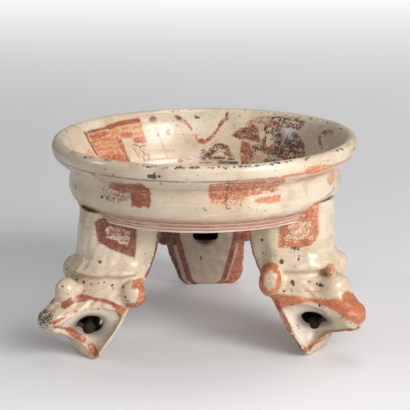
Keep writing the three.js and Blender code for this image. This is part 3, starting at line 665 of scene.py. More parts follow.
# The legs. Each is a hollow shell of clay with an animal's head on its front: a brow, a nose knob, a
# long upper jaw, two button ears and a dished open mouth on either side with a hole through the
# cheek. The lumps are luted on and smoothed in, so each leg is one skin, made from a field of
# distances.

LEG_STAND = 85.0
LEDGE = 83.5
LEG_TOP = 91
LUTED_IN = 0.8
# The grid of a leg's field, from its low corner to its high one, and the value outside it.
VOXEL = 0.65
GRID_LOW = (-48, -39, -1.6)
GRID_HIGH = (44, 39.1, 97)
GRID_OUTSIDE = 5.0
SHELL_WALL = 3.7
HOLLOW_FLOOR = 13.5
CHEEK_ANGLE = math.radians(40)

# Level sections: height, then back, rim and front as distances out from the leg's own axis, then the
# half widths ridge, wide and brink, and the swell of the side and bow of the face.
SECTIONS = np.array([
    (0, 3, 4.4, 7, 11, 12.4, 8, 0.4, 0.6),
    (2.5, 2, 4.6, 8.6, 14, 16.6, 9, 0.4, 1),
    (8, 0, 4.2, 10.6, 16.4, 21, 9.6, 0, 1.2),
    (13, -2, 3, 13, 17.6, 23.4, 9.6, 0, 1.2),
    (19, -4.6, 0.6, 19, 19, 25.2, 9.2, 0, 1.4),
    (25, -7.4, -2.8, 24, 20.4, 26.4, 9.8, 0, 1.4),
    (31, -10.8, -6.2, 19.5, 21.6, 27, 12, 1, 2),
    (38, -15.4, -11, 12, 22.8, 27.4, 13.4, 2.6, 3),
    (47, -23, -18.6, 5.6, 23.8, 27.6, 12.4, 3.4, 3),
    (58, -30.6, -26, 0.6, 24.4, 27.8, 11, 4, 3),
    (71.5, -36, -31, -0.6, 24.6, 28, 10.6, 4.6, 3),
    (83.5, -38.8, -33.4, -1.6, 24.8, 28.2, 10.6, 5, 2),
    (97, -42, -36.6, -4, 25, 28.4, 10.6, 5, 1.6),
])
SECTION_CORNER = 2.2
FOOT_OUT = 5.0
SIDE_STEPS = 6
TURN_STEPS = 4

# The dished mouth, as distance along the cheek and height: the edge down the back and under the jaw,
# which all legs share, and the slope that it comes up in. The soft upper lip lies over it.
MOUTH_BACK = [(-19.5, 28.5), (-17.3, 24.6), (-14.2, 19.2), (-11.2, 13.2), (-8.9, 8.4), (-6.2, 3.8),
              (-3.4, 2.6)]
UPPER_LIP = [(-26, 33), (-14, 36.6), (-5, 38.4), (5, 36.6), (11, 33)]
MOUTH_DEPTH = 6.2
MOUTH_SLOPE = 5.5
LIP_SLOPE = 15.0
FUNNEL = (0.8, 20.6)
FUNNEL_HALF = (8.0, 5.6)
VENT_HALF = (8.5, 4.7)
VENT_HEIGHT = 41.8
VENT_CORNER = 3.2
FAR_HOLE = 0.5
FAR_HOLE_UP = 3.2

# The brow roll and the groove under it, as heights about the brow's middle, how wide the lumps'
# fillets are, the knob's half sizes, and how uneven the clay is.
BROW_FADE = 4.6
BROW_UNDER = (-4.0, -0.2)
GROOVE_DEPTH = 1.1
GROOVE_DOWN = 4.8
GROOVE_HALF = 2.0
JAW_FILLET = 4.0
EAR_FILLET = 2.0
KNOB_FILLET = 1.4
MOUTH_FILLET = 0.8
KNOB_HALF = (3.2, 3.2, 3.4)
FUNNEL_DEPTH = 2.6
LIP_DEPTH = 0.12
HOLE_FROM_MIDDLE = 4
CLAY_UNEVEN = 0.3

# The upper jaw: stations of distance out, and heights and half width there.
JAW_OUT = np.array([8, 17, 23, 29, 34.5, 37.6])
JAW_TOP = np.array([44, 41, 38.8, 36, 33.4, 30.6])
JAW_WIDE = np.array([13, 12.6, 11.6, 10.4, 8.2, 4.6])


def smooth_steps(keys, values, where):
    """Values at places between keys, on a smooth curve through all of them."""
    slopes = np.gradient(values, keys)
    index = np.clip(np.searchsorted(keys, where) - 1, 0, len(keys) - 2)
    run = keys[index + 1] - keys[index]
    t = np.clip((where - keys[index]) / run, 0, 1)
    found = ((2 * t ** 3 - 3 * t ** 2 + 1) * values[index] + (t ** 3 - 2 * t ** 2 + t) * run * slopes[index]
             + (3 * t ** 2 - 2 * t ** 3) * values[index + 1] + (t ** 3 - t ** 2) * run * slopes[index + 1])
    return found.astype(np.float32)


def blend_union(a, b, width):
    """The union of two fields, with a fillet."""
    t = np.clip(0.5 + 0.5 * (b - a) / width, 0, 1)
    return b + (a - b) * t - width * t * (1 - t)


def ellipsoid(x, y, z, half):
    k0 = np.sqrt((x / half[0]) ** 2 + (y / half[1]) ** 2 + (z / half[2]) ** 2)
    k1 = np.sqrt((x / half[0] ** 2) ** 2 + (y / half[1] ** 2) ** 2 + (z / half[2] ** 2) ** 2)
    return k0 * (k0 - 1) / (k1 + 1e-9)


def line_distance(line, x, y):
    """The distance to an open line of points."""
    best = np.full(np.broadcast(x, y).shape, FAR_AWAY, np.float32)
    for (x0, y0), (x1, y1) in zip(line, line[1:]):
        best = np.minimum(best, squared_gap(x, y, x0, y0, x1 - x0, y1 - y0))
    return np.sqrt(best)


def section_distance(out, side, up):
    """The distance to the leg's plain outside, from its level sections. Side is never negative."""
    back, rim, front, ridge, wide, brink, swell, bow = (
        smooth_steps(SECTIONS[:, 0], SECTIONS[:, i], up) for i in range(1, 9))
    line = [(back + SECTION_CORNER, 0 * back), (back + SECTION_CORNER, ridge - SECTION_CORNER)]
    front_turn = smoothstep(36, 50, up)
    for i in range(SIDE_STEPS + 1):
        t = i / SIDE_STEPS * (1 - 0.34 * front_turn)
        line.append((rim + (front - rim) * t - SECTION_CORNER * t,
                     wide + (brink - wide) * t + 4 * swell * t * (1 - t) - SECTION_CORNER))
    start = line[-1]
    turn = (front + bow - SECTION_CORNER, brink * (1 - 0.1 * front_turn))
    tip = (front + bow - SECTION_CORNER, 0 * brink)
    for i in range(1, TURN_STEPS + 1):
        t = i / TURN_STEPS
        line.append(tuple((1 - t) ** 2 * start[k] + 2 * t * (1 - t) * turn[k] + t * t * tip[k]
                          for k in (0, 1)))
    best = np.full(np.broadcast(out, side, up).shape, FAR_AWAY, np.float32)
    half = np.full(best.shape, -1.0, np.float32)
    for (u0, v0), (u1, v1) in zip(line, line[1:]):
        du, dv = u1 - u0, v1 - v0
        best = np.minimum(best, squared_gap(out, side, u0, v0, du, dv))
        within = (out >= u0) & (out < u1)
        half = np.where(within, v0 + dv * (out - u0) / np.where(du == 0, 1, du), half)
    return np.where(side < half, -1, 1) * np.sqrt(best) - SECTION_CORNER


def jaw_distance(out, half, up, bottoms):
    top = smooth_steps(JAW_OUT, JAW_TOP, out)
    bottom = smooth_steps(JAW_OUT, np.array(bottoms), out)
    wide = smooth_steps(JAW_OUT, JAW_WIDE, out)
    high = 0.5 * (top - bottom)
    beyond = np.maximum(out - JAW_OUT[-1], JAW_OUT[0] - out)
    ratio = ((np.abs(up - 0.5 * (top + bottom)) / high) ** 2.6 + (half / wide) ** 2.6) ** (1 / 2.6)
    return np.maximum((ratio - 1) * np.minimum(high, wide), beyond)


def outside_distance(out, half, up, pose):
    """The leg's outside with its brow and jaw, before the mouth is dished into it."""
    rim = smooth_steps(SECTIONS[:, 0], SECTIONS[:, 2], up)
    forward = smoothstep(rim + 4, rim + 16, out)
    above = np.exp(-((up - pose["brow"]) / BROW_FADE) ** 2)
    below = smoothstep(pose["brow"] + BROW_UNDER[0], pose["brow"] + BROW_UNDER[1], up)
    brow = pose["brow_height"] * np.where(up > pose["brow"], above, below) * forward
    groove = GROOVE_DEPTH * np.exp(-((up - pose["brow"] + GROOVE_DOWN) / GROOVE_HALF) ** 2) * forward
    forehead = pose["forehead"] * smoothstep(46, 60, up) * forward
    spread = pose["foot_wide"] * (1 - smoothstep(0, 17, up))
    body = section_distance(out, np.maximum(half - spread, 0), up) - brow + groove - forehead
    jaw = jaw_distance(out - pose["jaw_longer"] * smoothstep(14, 30, out), half, up, pose["jaw_bottom"])
    return blend_union(body, jaw, JAW_FILLET)


def cheek_heights(pose):
    """How far out the cheek's surface stands, square to the cheek, over its length and height."""
    along = np.arange(-34, 36, 0.7)
    reach = np.arange(-6, 46, 0.5)
    up = np.arange(-2, 62, 0.7)
    a, r, z = np.meshgrid(*(line.astype(np.float32) for line in (along, reach, up)), indexing="ij")
    out = a * math.cos(CHEEK_ANGLE) + r * math.sin(CHEEK_ANGLE)
    half = r * math.cos(CHEEK_ANGLE) - a * math.sin(CHEEK_ANGLE)
    solid = outside_distance(out, np.maximum(half, 0), z, pose) < 0
    top = len(reach) - 1 - np.argmax(solid[:, ::-1, :], axis=1)
    height = np.where(solid.any(axis=1), reach[top], reach[0])
    for _ in range(3):
        height = (height + np.roll(height, 1, 0) + np.roll(height, -1, 0)
                  + np.roll(height, 1, 1) + np.roll(height, -1, 1)) / 5
    return along, up, height


def sampled(grid, x, y):
    """A grid's value at places between its points."""
    xs, ys, values = grid
    i = np.clip((x - xs[0]) / (xs[1] - xs[0]), 0, len(xs) - 1.001)
    j = np.clip((y - ys[0]) / (ys[1] - ys[0]), 0, len(ys) - 1.001)
    i0, j0 = i.astype(int), j.astype(int)
    fi, fj = i - i0, j - j0
    return ((values[i0, j0] * (1 - fi) + values[i0 + 1, j0] * fi) * (1 - fj)
            + (values[i0, j0 + 1] * (1 - fi) + values[i0 + 1, j0 + 1] * fi) * fj)


def hand_wobble(x, y, z, amount, seed):
    """A smooth unevenness of the clay, made from a few waves."""
    rng = np.random.default_rng(seed)
    total = 0
    for _ in range(9):
        wave = rng.normal(size=3) * 2 * math.pi / rng.uniform(11, 30)
        total = total + np.sin(wave[0] * x + wave[1] * y + wave[2] * z + rng.uniform(0, 6.28))
    return amount * total / 3


def leg_field(out, side, up, pose):
    """The field of one leg on its own axis, negative in the clay, and that of its solid outside."""
    twist = math.radians(pose["foot_twist"]) * (1 - smoothstep(5, 24, up))
    side = side - pose["foot_slide"] * (1 - smoothstep(4, 34, up))
    out, side = (FOOT_OUT + (out - FOOT_OUT) * np.cos(twist) + side * np.sin(twist),
                 side * np.cos(twist) - (out - FOOT_OUT) * np.sin(twist))
    half = np.abs(side)
    outside = outside_distance(out, half, up, pose) + hand_wobble(out, side, up, CLAY_UNEVEN, pose["seed"])

    cheek = out * math.cos(CHEEK_ANGLE) - half * math.sin(CHEEK_ANGLE)
    reach = out * math.sin(CHEEK_ANGLE) + half * math.cos(CHEEK_ANGLE)
    edge = outline_distance(MOUTH_BACK + pose["jaw_edge"], cheek, up + 0 * cheek)
    dish = MOUTH_DEPTH * np.sqrt(1 - (1 - np.clip(-edge / MOUTH_SLOPE, 0, 1)) ** 2)
    from_lip = line_distance(UPPER_LIP, cheek, up + 0 * cheek)
    dish = dish * (LIP_DEPTH + (1 - LIP_DEPTH) * smoothstep(0, LIP_SLOPE, from_lip))
    tilt = math.radians(pose["hole_tilt"])
    long, high = cheek - pose["hole"][0], up - pose["hole"][1]
    hole = np.hypot((long * math.cos(tilt) + high * math.sin(tilt)) / pose["hole_half"][0],
                    (high * math.cos(tilt) - long * math.sin(tilt)) / pose["hole_half"][1])
    around = np.hypot((cheek - FUNNEL[0]) / FUNNEL_HALF[0], (up - FUNNEL[1]) / FUNNEL_HALF[1])
    funnel = FUNNEL_DEPTH * (1 - smoothstep(0.8, 2.1, around))
    floor = sampled(cheek_heights(pose), cheek, up + 0 * cheek) - dish - funnel
    carved = np.where(edge < 0, -blend_union(-outside, floor - reach, MOUTH_FILLET), outside)
    rim = smooth_steps(SECTIONS[:, 0], SECTIONS[:, 2], up)

    nose = ellipsoid(out - pose["nose"][0], side - pose["nose"][1], up - pose["nose"][2], pose["nose_half"])
    field = blend_union(carved, nose, pose["nose_blend"])
    if pose["knob"]:
        knob = ellipsoid(out - pose["knob"][0], side - pose["knob"][1], up - pose["knob"][2], KNOB_HALF)
        field = blend_union(field, knob, KNOB_FILLET)
    for sign, ear in ((1, pose["ears"][0]), (-1, pose["ears"][1])):
        lump = ellipsoid(out - ear[0], side - sign * ear[1], up - ear[2], ear[3:])
        field = blend_union(field, lump, EAR_FILLET)

    hollow = np.maximum(carved + SHELL_WALL, HOLLOW_FLOOR - up)
    field = np.maximum(field, -hollow)
    far_side = side < 0 if pose["azimuth"] < 300 else side > 0
    far_hole = np.hypot(long / pose["hole_half"][0], (high - FAR_HOLE_UP) / pose["hole_half"][1])
    throat = np.where(far_side, far_hole - FAR_HOLE, hole - 1.0) * min(pose["hole_half"])
    field = np.maximum(field, -np.maximum(throat, HOLE_FROM_MIDDLE - half))
    slot = np.hypot(np.maximum(np.abs(side) - VENT_HALF[0] + VENT_CORNER, 0),
                    np.maximum(np.abs(up - VENT_HEIGHT) - VENT_HALF[1] + VENT_CORNER, 0)) - VENT_CORNER
    slot = np.maximum(slot, out - rim)
    return np.maximum(field, -slot), carved


def bowl_outside(radius, height):
    """The distance to the bowl's solid outside, as one block."""
    block = UNDERSIDE + BAND + WALL_OUTSIDE
    return outline_distance(block + [(0, block[-1][1])], radius, height)


def set_under_bowl(out, side, up, pose):
    """Places on a leg's own axis, as places from the bowl's axis and heights."""
    height = up * pose["tall"]
    slid = out + pose["stance"] * (1 - height / LEDGE)
    heading = math.radians(pose["azimuth"] + pose["turn"])
    stand = math.radians(pose["azimuth"])
    x = LEG_STAND * math.cos(stand) + slid * math.cos(heading) - side * math.sin(heading)
    y = LEG_STAND * math.sin(stand) + slid * math.sin(heading) + side * math.cos(heading)
    return x, y, height


def leg_skin(name, pose):
    """A leg's mesh, from its field on a grid, set in its place under the bowl."""
    out = np.arange(GRID_LOW[0], GRID_HIGH[0], VOXEL, dtype=np.float32)[:, None, None]
    side = np.arange(GRID_LOW[1], GRID_HIGH[1], VOXEL, dtype=np.float32)[None, :, None]
    up = np.arange(GRID_LOW[2], GRID_HIGH[2], VOXEL, dtype=np.float32)[None, None, :]
    x, y, height = set_under_bowl(out, side, up, pose)
    field, _ = leg_field(out, side, up, pose)
    under = np.broadcast_to(bowl_outside(np.hypot(x, y), height + 0 * x), field.shape)
    field = np.maximum(field, -(under + LUTED_IN))
    field = np.maximum(field, np.maximum(-up, up - LEG_TOP))
    grid = openvdb.FloatGrid(GRID_OUTSIDE)
    grid.copyFromArray(np.ascontiguousarray(field, dtype=np.float32))
    points, triangles, quads = grid.convertToPolygons(0.0, 0.0)
    local = points * VOXEL + np.array(GRID_LOW)
    x, y, height = set_under_bowl(*local.T, pose)
    placed = np.stack([x + bowl_axis[0], y + bowl_axis[1], height], 1)
    made = mesh_object(name, placed, [tuple(f) for f in triangles] + [tuple(f) for f in quads])
    made.data.shade_smooth()
    made.data.materials.append(slip)
    return made, local


LEG_POSES = {
    "left": dict(azimuth=214, turn=9, stance=0, tall=0.97, foot_twist=-10, foot_slide=0, foot_wide=0, seed=3,
                 forehead=0.8, jaw_longer=-1.4, nose_blend=5.0, knob=None, hole=(0.2, 22.2),
                 hole_half=(8.0, 6.6),
                 jaw_bottom=(12, 14.6, 17.4, 19.6, 21.8, 25.6), hole_tilt=-6,
                 jaw_edge=[(-0.6, 7.4), (3.4, 11.0), (8.2, 14.6), (13.6, 18.4), (18.8, 22.4), (20.4, 24.4),
                           (18.0, 27.0), (13, 29.8), (7, 32.4), (0, 34.6), (-8, 35), (-16, 32.6)],
                 brow=54.8, brow_height=4.2, nose=(17.2, 0, 43.6), nose_half=(7.4, 6.6, 8.8),
                 ears=((-11, 28, 42, 7.4, 7.6, 8.6), (-11, 28, 46, 7.4, 7.6, 9))),
    "right": dict(azimuth=324.5, turn=-10, stance=-8, tall=1.03, foot_twist=15, foot_slide=0, foot_wide=0,
                  seed=5,
                  forehead=2.9, jaw_longer=-0.45, nose_blend=7.5, knob=(13.2, -2.8, 52.2), hole=(1.4, 21.9),
                  hole_half=(8.4, 4.6),
                  jaw_bottom=(12, 13.8, 15.8, 17.6, 19.6, 25), hole_tilt=-16,
                  jaw_edge=[(-0.8, 7.2), (3.0, 10.8), (7.8, 13.8), (13.8, 16.6), (19.8, 18.6), (24.2, 20.6),
                            (17, 23.8), (10, 28.0), (4, 31.0), (-3, 33), (-11, 33), (-17, 31)],
                  brow=54.0, brow_height=3.4, nose=(15.8, 0, 42.6), nose_half=(7.6, 9.0, 7.0),
                  ears=((-9.4, 29.4, 45, 7.4, 7.6, 8.4), (-11, 28, 46, 7.4, 7.6, 9.4))),
    "rear": dict(azimuth=90, turn=0, stance=0, tall=1.0, foot_twist=4, foot_slide=-2.8, foot_wide=4.0, seed=8,
                 forehead=0.8, jaw_longer=-0.5, nose_blend=5.0, knob=None, hole=(0.2, 22.4),
                 hole_half=(8.0, 5.6),
                 jaw_bottom=(12, 14.2, 16.6, 18.6, 20.8, 25.4), hole_tilt=-10,
                 jaw_edge=[(-0.6, 7.4), (3.4, 11.0), (8.2, 14.4), (13.6, 17.6), (18.8, 20.4), (22, 22.6),
                           (17.6, 25.2), (12, 29.0), (6, 31.8), (-1, 33.8), (-9, 34), (-16, 32)],
                 brow=51.5, brow_height=2.5, nose=(15.5, 0, 44), nose_half=(8, 7.8, 7.2),
                 ears=((-11, 28, 42, 7.4, 7.6, 9), (-11, 28, 44, 7.4, 7.6, 9))),
}

# The legs' painting, in the same way. Places are the distance along the cheek and the height. Both
# sides of a leg are painted alike, each with its own wear.
BACK_STRIPE = (2.1, 0.74, 0.16)
BACK_STRIPE_IN = (2.4, 4.0)
BACK_TOP = 70
FAR_FILLS_BACK = 7.0
FRAME_UP = 50
FRAME_TINT = (0.58, 0.84)
FRAME_WEAR = 0.18
EAR_WEAR = 0.2
# An ear's reach from its middle, how far out its painted face starts, and the far ears' painted edge.
EAR_REACH = 11.5
EAR_FACE = 26.6
FAR_EAR_EDGE = 31.0
# How dark the soot is; the painted shade in the funnels round the cheek holes and below the vent;
# and the grey on the backs, painted shade under the bowl with some smoke.
SOOT_DARK = 1.05
HOLE_RIM_SHADE = 0.7
BACK_SHADE_AND_SMOKE = 0.6
VENT_SHADE = (7.5, 8.0, 2.2)
LEG_PAINT = {
    "left": dict(
        fills=[(0.8, 0.1, [(-4, 86), (-5.2, 79), (-6.2, 74), (-12, 70.2), (-18.5, 67.4), (-25.4, 64.4),
                           (-28, 63.6),
                             (-29.2, 72), (-29.6, 80), (-29, 90), (-12, 90)]),
               (0.6, 0.62, [(-10.4, 81.5), (-11.6, 76.6), (-17, 74), (-23.4, 71.4), (-25, 74), (-25.4, 80),
                            (-20, 83),
                             (-13, 84)]),
               (0.5, 0.1, [(-10.5, 39), (-18, 36.4), (-22.8, 33.4), (-19.6, 28.6), (-17.6, 26.8),
                           (-16.8, 30), (-15, 34)]),
               (0.42, 0.2, [(2.2, 9.6), (-1.2, 10.2), (-5.4, 5.6), (-6, 2.6), (-3, 1.6), (1, 4)])],
        lines=[(2.0, 0.7, 0.06, [(15, 37.4), (10.7, 39.8), (5.9, 40.6), (1.6, 40.9)]),
               (1.2, 0.64, 0.1, [(1.6, 41.3), (-3.7, 39.9), (-8.5, 39.3), (-13.3, 37.6), (-18, 34.8)]),
               (1.2, 0.56, 0.12, [(7.5, 33.9), (12.8, 33.2), (17.4, 30.8), (20.6, 29)]),
               (1.9, 0.5, 0.2, [(13.6, 22), (11.2, 18.7), (8, 14.9), (3.7, 11.9)]),
               (1.1, 0.56, 0.3, [(20.4, 27), (17.6, 24.6), (13.6, 22)])],
        ear=[(-26.6, 51), (-33, 50), (-36, 44.5), (-33.8, 36), (-27, 33.4), (-20.6, 34.4), (-21.6, 37.6),
             (-27.6, 38.8),
             (-29.2, 42.5), (-29, 46.4), (-25.4, 47.6)],
        ear_tint=0.48, far_ear_tint=0.9,
        pits=[(-7, 61.4, 1.3), (2.9, 48.2, 1.0), (-1.4, 47.8, 0.8), (-4, 48.4, 0.6), (-5.6, 48.6, 0.7),
              (-9.2, 48.9, 0.6),
              (-13.9, 47.5, 1.0), (-14.4, 45.8, 0.7), (2.9, 44, 0.6), (-0.8, 44.8, 0.7), (-34, 60.4, 0.8),
              (-34.4, 58, 0.6), (-24.6, 56.3, 0.5), (-5.3, 34.2, 0.9), (-1.6, 33.8, 0.6), (2, 34, 0.5),
              (15.2, 48.6, 0.8),
              (7.7, 51.1, 0.9), (-11, 54, 0.6), (-20.5, 47, 0.8), (-22, 42, 0.9), (-23.4, 39.6, 0.8),
              (18.4, 26.8, 0.8),
              (8.4, 21.6, 0.8), (7.4, 14, 0.7), (1, 10.6, 0.6), (-11, 19.4, 0.5), (-12, 24, 0.5)],
        soot=(27.5, 31.6, 14.0), edge_line=1.2, far_edge_line=-4.0, foot_line=-50.0),
    "right": dict(
        fills=[(0.46, 0.26, [(-24.6, 82), (-24.2, 65.4), (-18, 66), (-12.9, 65), (-6, 66.4), (-2, 69.2),
                             (-0.4, 74),
                           (-1.6, 82), (-2, 92), (-25, 92)]),
               (0.34, 0.58, [(-19.6, 80), (-19.8, 69.6), (-12, 68.4), (-8.4, 72), (-5.2, 76), (-6.4, 81),
                             (-12, 82)]),
               (0.42, 0.3, [(8.4, 55.8), (5.6, 54.4), (4.6, 52), (6, 49.6), (9, 49), (11.6, 51.4),
                            (11.4, 54.4)]),
               (0.47, 0.0, [(-27, 40), (-24.4, 39.2), (-18.8, 38.7), (-13.1, 38.4), (-6.6, 37.5), (0.7, 37),
                            (8.7, 37.4),
                             (14.9, 38.8), (17.7, 41), (40, 43), (40, 21), (27.6, 22.4), (23.2, 25.9),
                            (19, 28.2),
                             (14.1, 30.7), (7.5, 32.9), (2.5, 34.3), (-3.1, 34.7), (-8.7, 33.9),
                            (-14.2, 31.8),
                             (-18.9, 30), (-22.4, 29), (-27, 32)])],
        lines=[(1.2, 0.78, 0.16, [(-22.4, 34.6), (-19, 28), (-15.2, 21.2), (-10.4, 13.5), (-5.9, 7.6),
                                  (-2.8, 3.4)]),
               (1.0, 0.46, 0.16, [(-2.4, 3.4), (3.1, 7.7), (9.3, 11.4), (16.1, 16.4), (23, 19.4),
                                  (26.4, 20.2)]),
               (0.5, 0.22, 0.3, [(-6, 41), (0, 40.7), (3.6, 41)])],
        ear=[(-20.2, 52), (-23, 56.6), (-27, 58), (-32, 56), (-36, 48), (-33, 40), (-28, 38.4), (-23, 40),
             (-20, 44)],
        ear_middle=[(-26.8, 53.6), (-30, 51), (-30.2, 46), (-27.4, 42.4), (-24, 44.4), (-23.4, 50)],
        ear_tint=0.42, far_ear_tint=None,
        pits=[(-21.4, 58, 1.6), (-11.4, 59.4, 1.2), (-13.8, 45.5, 1.3), (-13.2, 44.4, 1.2), (-3.7, 45.4, 0.8),
              (-5, 46, 0.5), (0.8, 44.6, 1.0), (2.8, 44.2, 1.2), (4.4, 44.2, 0.9), (-13.8, 40.8, 0.9),
              (-18.6, 40.4, 1.0),
              (-14, 65.4, 1.2), (-12, 65, 1.0), (-16, 65.6, 0.7), (-33, 61, 0.7), (-34, 69, 1.0),
              (-6, 64.8, 0.6),
              (-31, 60.4, 0.6), (19.6, 27.6, 0.6), (15.4, 30, 0.9), (17.4, 28.8, 1.0), (22.6, 25.4, 0.8),
              (24.4, 23.4, 0.7),
              (-13, 32.8, 0.9), (0.6, 35.2, 0.8), (3.2, 33.4, 0.9), (6.4, 32.8, 0.7), (-8.6, 18, 0.8),
              (-7.6, 16.4, 0.6)],
        soot=(28, 20.5, 4.5), edge_line=0.6, far_edge_line=-4.0, foot_line=-50.0),
}
LEG_PAINT["rear"] = dict(LEG_PAINT["left"], ear_tint=0.45, far_ear_tint=0.5, soot=(27.5, 31.4, 7.0),
                         edge_line=14.0,
                         far_edge_line=14.0, foot_line=3.0)


def paint_leg(made, local, pose, paint):
    """Stores a leg's painting at its points, from their places on the leg's own axis."""
    out, side, up = local[:, 0], local[:, 1], local[:, 2]
    half = np.abs(side)
    cheek = out * math.cos(CHEEK_ANGLE) - half * math.sin(CHEEK_ANGLE)
    back, rim, ridge = (smooth_steps(SECTIONS[:, 0], SECTIONS[:, i], up) for i in (1, 2, 4))
    behind = out < rim - 1.5
    near = -1 if pose is LEG_POSES["right"] else 1
    fill_at = cheek + np.where((near * side > 0) | (up < 56), 0, FAR_FILLS_BACK)
    fill, fill_tint, fill_wear = painted_fills(paint["fills"], fill_at, up)
    line, line_half, line_tint, line_wear = painted_lines(paint["lines"], cheek, up)
    ear = outline_distance(paint["ear"], cheek, up)
    if "ear_middle" in paint:
        ear = np.maximum(ear, -outline_distance(paint["ear_middle"], cheek, up))
    for sign, tint in ((near, paint["ear_tint"]), (-near, paint["far_ear_tint"])):
        ear_out, ear_side, ear_up = pose["ears"][0 if sign > 0 else 1][:3]
        lump = np.sqrt((out - ear_out) ** 2 + (side - sign * ear_side) ** 2 + (up - ear_up) ** 2) < EAR_REACH
        painted = ear if sign == near else FAR_EAR_EDGE - half
        counts = lump & (half > EAR_FACE) & (painted < fill) & (tint is not None)
        fill = np.where(counts, painted, fill)
        fill_tint = np.where(counts, tint or 0, fill_tint)
        fill_wear = np.where(counts, EAR_WEAR, fill_wear)
        beyond = paint["edge_line"] if sign == near else paint["far_edge_line"]
        edge = out - rim - np.where(up > FRAME_UP, beyond, paint["foot_line"])
        flank = np.where(behind, ridge + 0.7 - sign * side, edge)
        flank = np.where(lump & (out < ear_out + 2) & (paint["edge_line"] > 5), -3.0, flank)
        counts = (sign * side > 0) & ((flank < fill) | behind)
        fill = np.where(counts, flank, fill)
        fill_tint = np.where(counts, FRAME_TINT[sign > 0], fill_tint)
        fill_wear = np.where(counts, FRAME_WEAR, fill_wear)
    line = np.where(behind, half - ridge + np.where(side > 0, BACK_STRIPE_IN[1], BACK_STRIPE_IN[0]), line)
    line_half = np.where(behind & (up < BACK_TOP), BACK_STRIPE[0], np.where(behind, NO_LINE, line_half))
    line_tint = np.where(behind, BACK_STRIPE[1], line_tint)
    line_wear = np.where(behind, BACK_STRIPE[2], line_wear)
    pit = np.where(behind, UNPAINTED, spots_distance(paint["pits"], cheek, up))
    across, high, reach = paint["soot"]
    soot = SOOT_DARK * smoothstep(reach, 0.25 * reach, np.hypot(cheek - across, up - high))
    soot = np.where(behind, 0, soot)
    # Painted shade: the funnels round the cheek holes, the face below the vent and the hollow's inside walls
    # are painted near black.
    round_hole = np.hypot((cheek - pose["hole"][0]) / pose["hole_half"][0],
                          (up - pose["hole"][1]) / pose["hole_half"][1])
    below_vent = np.hypot(side / VENT_SHADE[0], (up - VENT_HEIGHT + VENT_SHADE[2]) / VENT_SHADE[1])
    opening_shade = np.where(behind, smoothstep(1.3, 0.5, below_vent), HOLE_RIM_SHADE * smoothstep(1.7, 0.95, round_hole))
    # Painted light: the mouth dishes are made paler.
    mouth = outline_distance(MOUTH_BACK + pose["jaw_edge"], cheek, up)
    chalky = np.where(behind, 0, smoothstep(1, -4, mouth))
    _, carved = leg_field(out, side, up, pose)
    bare = np.maximum(smoothstep(-0.4, -1.5, carved), opening_shade)
    # The backs are greyed: painted shade under the bowl, with some smoke.
    carry(made, fill=fill, fill_tint=fill_tint, fill_wear=fill_wear, line=line, line_half=line_half,
          line_tint=line_tint, line_wear=line_wear, pit=pit, cloud=np.where(behind, BACK_SHADE_AND_SMOKE, 0.0),
          soot=soot, band=0.0,
          height=0.0, chalky=chalky, bare=bare)


for leg_name, leg_pose in LEG_POSES.items():
    skin, local = leg_skin(f"{leg_name}_leg_skin", leg_pose)
    paint_leg(skin, local, leg_pose, LEG_PAINT[leg_name])
    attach(skin, "fired_vessel")
    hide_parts(*(f"{leg_name}_leg_{part}"
                        for part in ("shell", "snout", "nose", "brow", "ear_l", "ear_r")))

# The rattle pellets. Each is a ball of clay rolled between the palms, dried and shut into the leg
# before firing, so it is uneven and unslipped. Its near-black colour is painted shade, for the dark
# inside the leg.

def shaded_pellet_material():
    made = bpy.data.materials.new("fired pellet clay")
    made.use_nodes = True
    tree = made.node_tree
    shader = tree.nodes["Principled BSDF"]
    place = add(tree, "ShaderNodeTexCoord").outputs["Object"]
    dark_patches = noise(tree, place, 260.0, 4.0)
    gritty = noise(tree, place, 1500.0, 3.0)
    # Painted shade: the clay is near black, as the inside of the leg is dark.
    tone = mixed(tree, span(tree, dark_patches, 0.35, 0.65), colour(44, 32, 25), colour(28, 21, 17))
    tone = mixed(tree, times(tree, span(tree, gritty, 0.6, 0.7), 0.5), tone, colour(88, 66, 49))
    tree.links.new(tone, shader.inputs["Base Color"])
    shader.inputs["Roughness"].default_value = 0.88
    bump = add(tree, "ShaderNodeBump", {"Height": gritty, "Strength": 0.6, "Distance": 0.0004}).outputs[0]
    tree.links.new(bump, shader.inputs["Normal"])
    return made


PELLET_UNEVEN = 0.35
pellet_shade_clay = shaded_pellet_material()
for body_name, body in frame["bodies"].items():
    if "pellet" not in body_name:
        continue
    leg_side, _, number = body_name.split("_")
    node_name = f"{leg_side}_leg_pellet_{number}"
    low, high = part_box(node_name)
    middle = 0.5 * (np.array(low) + np.array(high)) / MM
    ball_radius = 0.5 * (high.x - low.x) / MM - PELLET_UNEVEN
    ball = bmesh.new()
    bmesh.ops.create_icosphere(ball, subdivisions=4, radius=1.0)
    directions = np.array([point.co for point in ball.verts])
    seed = len(leg_side) * 10 + int(number)
    lumps = hand_wobble(*(directions * ball_radius).T, PELLET_UNEVEN, seed)
    spread = directions * (ball_radius + np.clip(lumps, -PELLET_UNEVEN, PELLET_UNEVEN))[:, None]
    pellet = mesh_object(f"{leg_side}_pellet_ball_{number}", middle + spread,
                         [tuple(point.index for point in face.verts) for face in ball.faces])
    ball.free()
    pellet.data.shade_smooth()
    pellet.data.materials.append(pellet_shade_clay)
    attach(pellet, body_name)
    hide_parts(node_name)

# The floor, the light and the camera. A pale floor glows to white far off, and has painted shade that
# darkens it to the left and painted light that brightens it in front of the pot. It lies under a broad
# lamp at the front right, a weaker one in front, a small one at the left and one overhead. The pale sky
# is brighter to the camera than it is to the pot.

